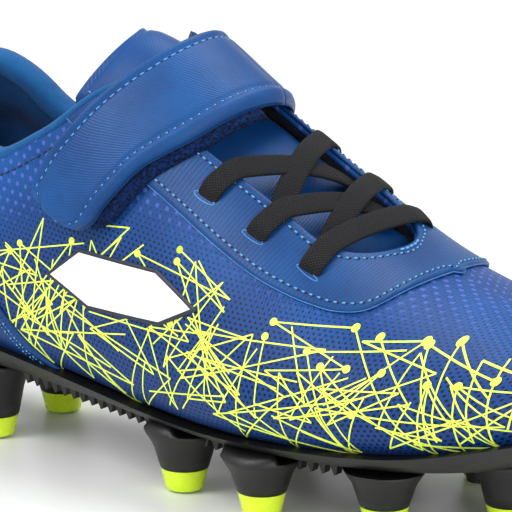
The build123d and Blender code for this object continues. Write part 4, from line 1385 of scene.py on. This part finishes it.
def print_web(seed, first_x):
    """Zigzag runs of straight lines spread evenly along the boot, and dots on their upper turns."""
    rng = random.Random(seed)
    lines, spots = [], []

    def free(x, z):
        return first_x < x < PRINT_END and along(BAND_TOP, x) - 1 < z < along(PRINT_TOP, x)

    for k in range(PRINT_RUNS):
        x = first_x + (PRINT_END - first_x) * (k + rng.random()) / PRINT_RUNS
        low, high = float(along(BAND_TOP, x)), float(along(PRINT_TOP, x))
        here = (x, low + (high - low) * (k * GOLDEN % 1)**0.9)
        heading = rng.uniform(0, 2 * math.pi)
        for _ in range(rng.randint(3, 5)):
            for _ in range(30):
                turned = heading + math.pi + rng.choice((-1, 1)) * rng.uniform(0.25, 1.15)
                size = rng.uniform(11, 38)
                there = (here[0] + size * math.cos(turned), here[1] + size * math.sin(turned))
                if free(*there):
                    lines.append((here, there))
                    here, heading = there, turned
                    if there[1] > along(PRINT_TOP, there[0]) - 9 and rng.random() < 0.5:
                        spots.append(there)
                    break
        if rng.random() < 0.12:
            spots.append(here)
    return lines, spots


def make_print(side, seed, first_x, name):
    lines, spots = print_web(seed, first_x)
    vertices, faces = [], []

    def add(block, new_faces):
        start = len(vertices)
        vertices.extend(block)
        faces.extend([tuple(start + k for k in face) for face in new_faces])

    for (ax, az), (bx, bz) in lines:
        size = math.dist((ax, az), (bx, bz))
        count = max(4, int(size / 1.6))
        share = np.linspace(0, 1, count)
        nx, nz = -(bz - az) / size * PRINT_HALF_WIDTH, (bx - ax) / size * PRINT_HALF_WIDTH
        rings = []
        for offset, height in ((1, 0.1), (-1, 0.1), (-1, -0.12), (1, -0.12)):
            x = ax + (bx - ax) * share + nx * offset
            z = az + (bz - az) * share + nz * offset
            rings.append(surface(x, turn_at_z(x, z, side), height))
        block = np.stack(rings, 1).reshape(-1, 3)
        sides = grid_faces(count, 4, closed=True)
        add(list(block), sides + [(3, 2, 1, 0), tuple(4 * (count - 1) + k for k in range(4))])
    for x0, z0 in spots:
        radius = 0.82
        turn = 2 * math.pi * np.arange(14) / 14
        x, z = x0 + radius * np.cos(turn), z0 + radius * np.sin(turn)
        top = surface(x, turn_at_z(x, z, side), 0.14)
        low = surface(x, turn_at_z(x, z, side), -0.12)
        block = np.concatenate([top, low, [top.mean(0)], [low.mean(0)]])
        rim = [(k, (k + 1) % 14, 14 + (k + 1) % 14, 14 + k) for k in range(14)]
        caps = [(28, (k + 1) % 14, k) for k in range(14)] + [(29, 14 + k, 14 + (k + 1) % 14) for k in range(14)]
        add(list(block), rim + caps)
    obj = new_object(name, place(vertices), faces, None, smooth_faces=False)
    face_outwards(obj)
    return finish_piece(obj, INK_YELLOW, "shoe", ())


# ---------------------------------------------------------------- roots of the studs

def sole_reach(tree, x, z, side):
    """How far out the sole's side reaches at that x and height, in drawn mm; None past its ends."""
    start = place((x, side * 70.0, z))
    hit = tree.ray_cast(Vector(start), Vector((0, -side, 0)))[0]
    return None if hit is None else (hit[1] - ORIGIN[1]) * 1000 * side


def stud_root(cx, cy, tree):
    """A moulded root round a post: it widens upwards and leans back into the side of the sole."""
    plate = float(along(PLATE, cx))
    base, top = TIP_TOP + 0.15, plate + POST_SINK - 0.1
    turn = 2 * math.pi * np.arange(36) / 36
    rings = []
    for share in (0.0, 0.0, 0.25, 0.5, 0.65, 0.8, 0.9, 1.0):
        radius = POST_LOW + POST_FLARE * share + 0.12 + ROOT_FLARE * float(smooth((share - 0.45) / 0.55))**1.4
        radius -= 0.6 if not rings else 0
        z = base + (top - base) * share
        rings.append(np.stack([cx + radius * np.cos(turn), cy + radius * np.sin(turn), np.full(36, z)], 1))
    side = -1 if cy < 0 else 1
    edge = rings[-1]
    for lift, draw in ((1.3, 0.55), (2.6, 1.0)):
        ring = edge.copy()
        for k, (x, y, z) in enumerate(edge):
            reach = sole_reach(tree, x, top + 3.2, side)
            if reach is None or y * side < 0:
                continue
            poke = y * side - reach + 1.2
            if poke > 0:
                ring[k, 1] = side * (y * side - (poke + 0.4) * draw)
                ring[k, 2] = z + lift * float(smooth(poke / 1.6))
        rings.append(ring)
    points = np.concatenate(rings)
    last = 36 * (len(rings) - 1)
    faces = grid_faces(len(rings), 36, closed=True)
    caps = [(len(points), (k + 1) % 36, k) for k in range(36)]
    caps += [(len(points) + 1, last + k, last + (k + 1) % 36) for k in range(36)]
    points = np.concatenate([points, [rings[0].mean(0)], [rings[-1].mean(0)]])
    return points, faces + caps


def make_sole_teeth(tree):
    """Small moulded teeth along the lower edge of the sole, between the studs."""
    points, faces = [], []
    for side in (LATERAL, MEDIAL):
        for low, high in TEETH_RANGES:
            for x in np.arange(low, high, TEETH_PITCH):
                z = float(along(PLATE, x))
                reach = sole_reach(tree, x, z + 1.9, side)
                if reach is None:
                    continue
                start = len(points)
                for y in (reach - 2.6, reach - 0.25):
                    points += [(x - 1.25, side * y, z + 2.4), (x + 1.25, side * y, z + 2.4),
                               (x + 0.5, side * (y - 0.3), z - 0.5), (x + 0.05, side * (y - 0.3), z - 0.7)]
                faces += [tuple(start + k for k in face) for face in
                          ((0, 1, 2, 3), (7, 6, 5, 4), (0, 4, 5, 1), (1, 5, 6, 2), (2, 6, 7, 3), (3, 7, 4, 0))]
    return points, faces


def make_stud_roots():
    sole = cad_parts["outsole"]
    corners = [sole.matrix_world @ v.co for v in sole.data.vertices]
    tree = BVHTree.FromPolygons(corners, [tuple(p.vertices) for p in sole.data.polygons])
    groups = [make_sole_teeth(tree)]
    for node in sorted(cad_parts):
        if node.startswith("stud_tip"):
            low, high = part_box(node)
            middle = ((low + high) / 2 - Vector(ORIGIN)) * 1000
            groups.append(stud_root(middle.x, middle.y, tree))
    for name, picked in (("sole_edge_teeth", groups[:1]), ("stud_roots", groups[1:])):
        points, faces = [], []
        for block, block_faces in picked:
            faces += [tuple(len(points) + k for k in face) for face in block_faces]
            points += [tuple(p) for p in block]
        obj = new_object(name, place(points), faces, None, smooth_faces=name == "stud_roots")
        face_outwards(obj)
        finish_piece(obj, SOLE_BLACK, "shoe")


# ---------------------------------------------------------------- finishes of the parts kept as they are

def dress_frame():
    for node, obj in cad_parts.items():
        if node.startswith("stud_tip"):
            material = TIP_NEON
        elif node == "outsole":
            material = SOLE_BLACK
        elif node in ("sock_liner_cover", "strobel_sock"):
            material = SOCK_COVER
        elif node == "insole_board":
            material = BOARD_FIBRE
        elif "foam" in node:
            material = FOAM_PALE
        else:
            material = OVERLAY_FILM
        obj.data.materials.clear()
        obj.data.materials.append(material)


# ---------------------------------------------------------------- studio

CAMERA_AZIMUTH, CAMERA_ELEVATION, CAMERA_DISTANCE = 35.0, 13.5, 0.75
CAMERA_TARGET = (113.5, 0.0, 38.8)
CAMERA_LENS = 229.4


def make_camera():
    target = Vector(place(CAMERA_TARGET))
    turn, rise = math.radians(CAMERA_AZIMUTH), math.radians(CAMERA_ELEVATION)
    back = Vector((math.sin(turn) * math.cos(rise), -math.cos(turn) * math.cos(rise), math.sin(rise)))
    camera = put_in_scene("camera", bpy.data.cameras.new("camera"))
    camera.location = target + back * CAMERA_DISTANCE
    camera.rotation_mode = "QUATERNION"
    camera.rotation_quaternion = (-back).to_track_quat("-Z", "Y")
    camera.data.lens = CAMERA_LENS
    camera.data.clip_start, camera.data.clip_end = 0.01, 50
    bpy.context.scene.camera = camera
    return target


def soft_light(name, spot, aim, size, power, colour=(1, 1, 1)):
    lamp = bpy.data.lights.new(name, "AREA")
    lamp.shape = "RECTANGLE"
    lamp.size, lamp.size_y = size
    lamp.energy = power
    lamp.color = colour
    obj = put_in_scene(name, lamp)
    obj.location = spot
    obj.rotation_mode = "QUATERNION"
    obj.rotation_quaternion = (Vector(aim) - Vector(spot)).to_track_quat("-Z", "Y")


def make_studio():
    target = make_camera()
    floor_mesh = bpy.data.meshes.new("floor")
    reach = 6.0
    floor_mesh.from_pydata([(-reach, -reach, 0), (reach, -reach, 0), (reach, reach, 0), (-reach, reach, 0)], [],
                           [(0, 1, 2, 3)])
    floor_mesh.transform(Matrix.Translation((0, 0, cad_low.z - 0.0004)))
    floor = put_in_scene("floor", floor_mesh)
    pale = Finish("floor_pale", roughness=0.35, Specular_IOR_Level=0.4)
    paint = pale.mix(pale.noise(900, 2), (0.795, 0.795, 0.79, 1), (0.825, 0.825, 0.82, 1))
    floor_mesh.materials.append(pale.done(paint))
    world = bpy.data.worlds.new("studio")
    world.use_nodes = True
    world.node_tree.nodes["Background"].inputs[0].default_value = (0.9, 0.905, 0.915, 1)
    world.node_tree.nodes["Background"].inputs[1].default_value = 0.97
    bpy.context.scene.world = world
    bpy.context.scene.view_settings.view_transform = "Standard"
    soft_light("key", (-0.35, -0.75, 0.85), target, (0.5, 0.5), 7.0)
    soft_light("top", (0.1, 0.25, 1.0), target, (0.7, 0.5), 6.0)
    soft_light("front_fill", (0.9, -0.5, 0.35), target, (0.5, 0.4), 3.0, (0.97, 0.98, 1))


dress_frame()
make_studio()
make_upper()
make_lining()
make_collar()
make_eyestay()
make_eyestay_edge()
make_heel_overlay()
make_backstay()
make_side_mark()
make_stud_roots()
make_loop_patch()
make_hook_pad()
outer_half, inner_half, fold_lateral, fold_medial = make_strap()
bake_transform(outer_half)
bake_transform(inner_half)
tongue_x, tongue_turn, tongue_edge, tongue_bend = make_tongue()
make_laces()
make_slot_rims()
make_shoe_stitches()
make_strap_stitches(fold_lateral, fold_medial)
make_tongue_stitches(tongue_x, tongue_turn, tongue_edge)
make_print(LATERAL, 11, 48, "print_web_outer")
make_print(MEDIAL, 23, 48, "print_web_inner")
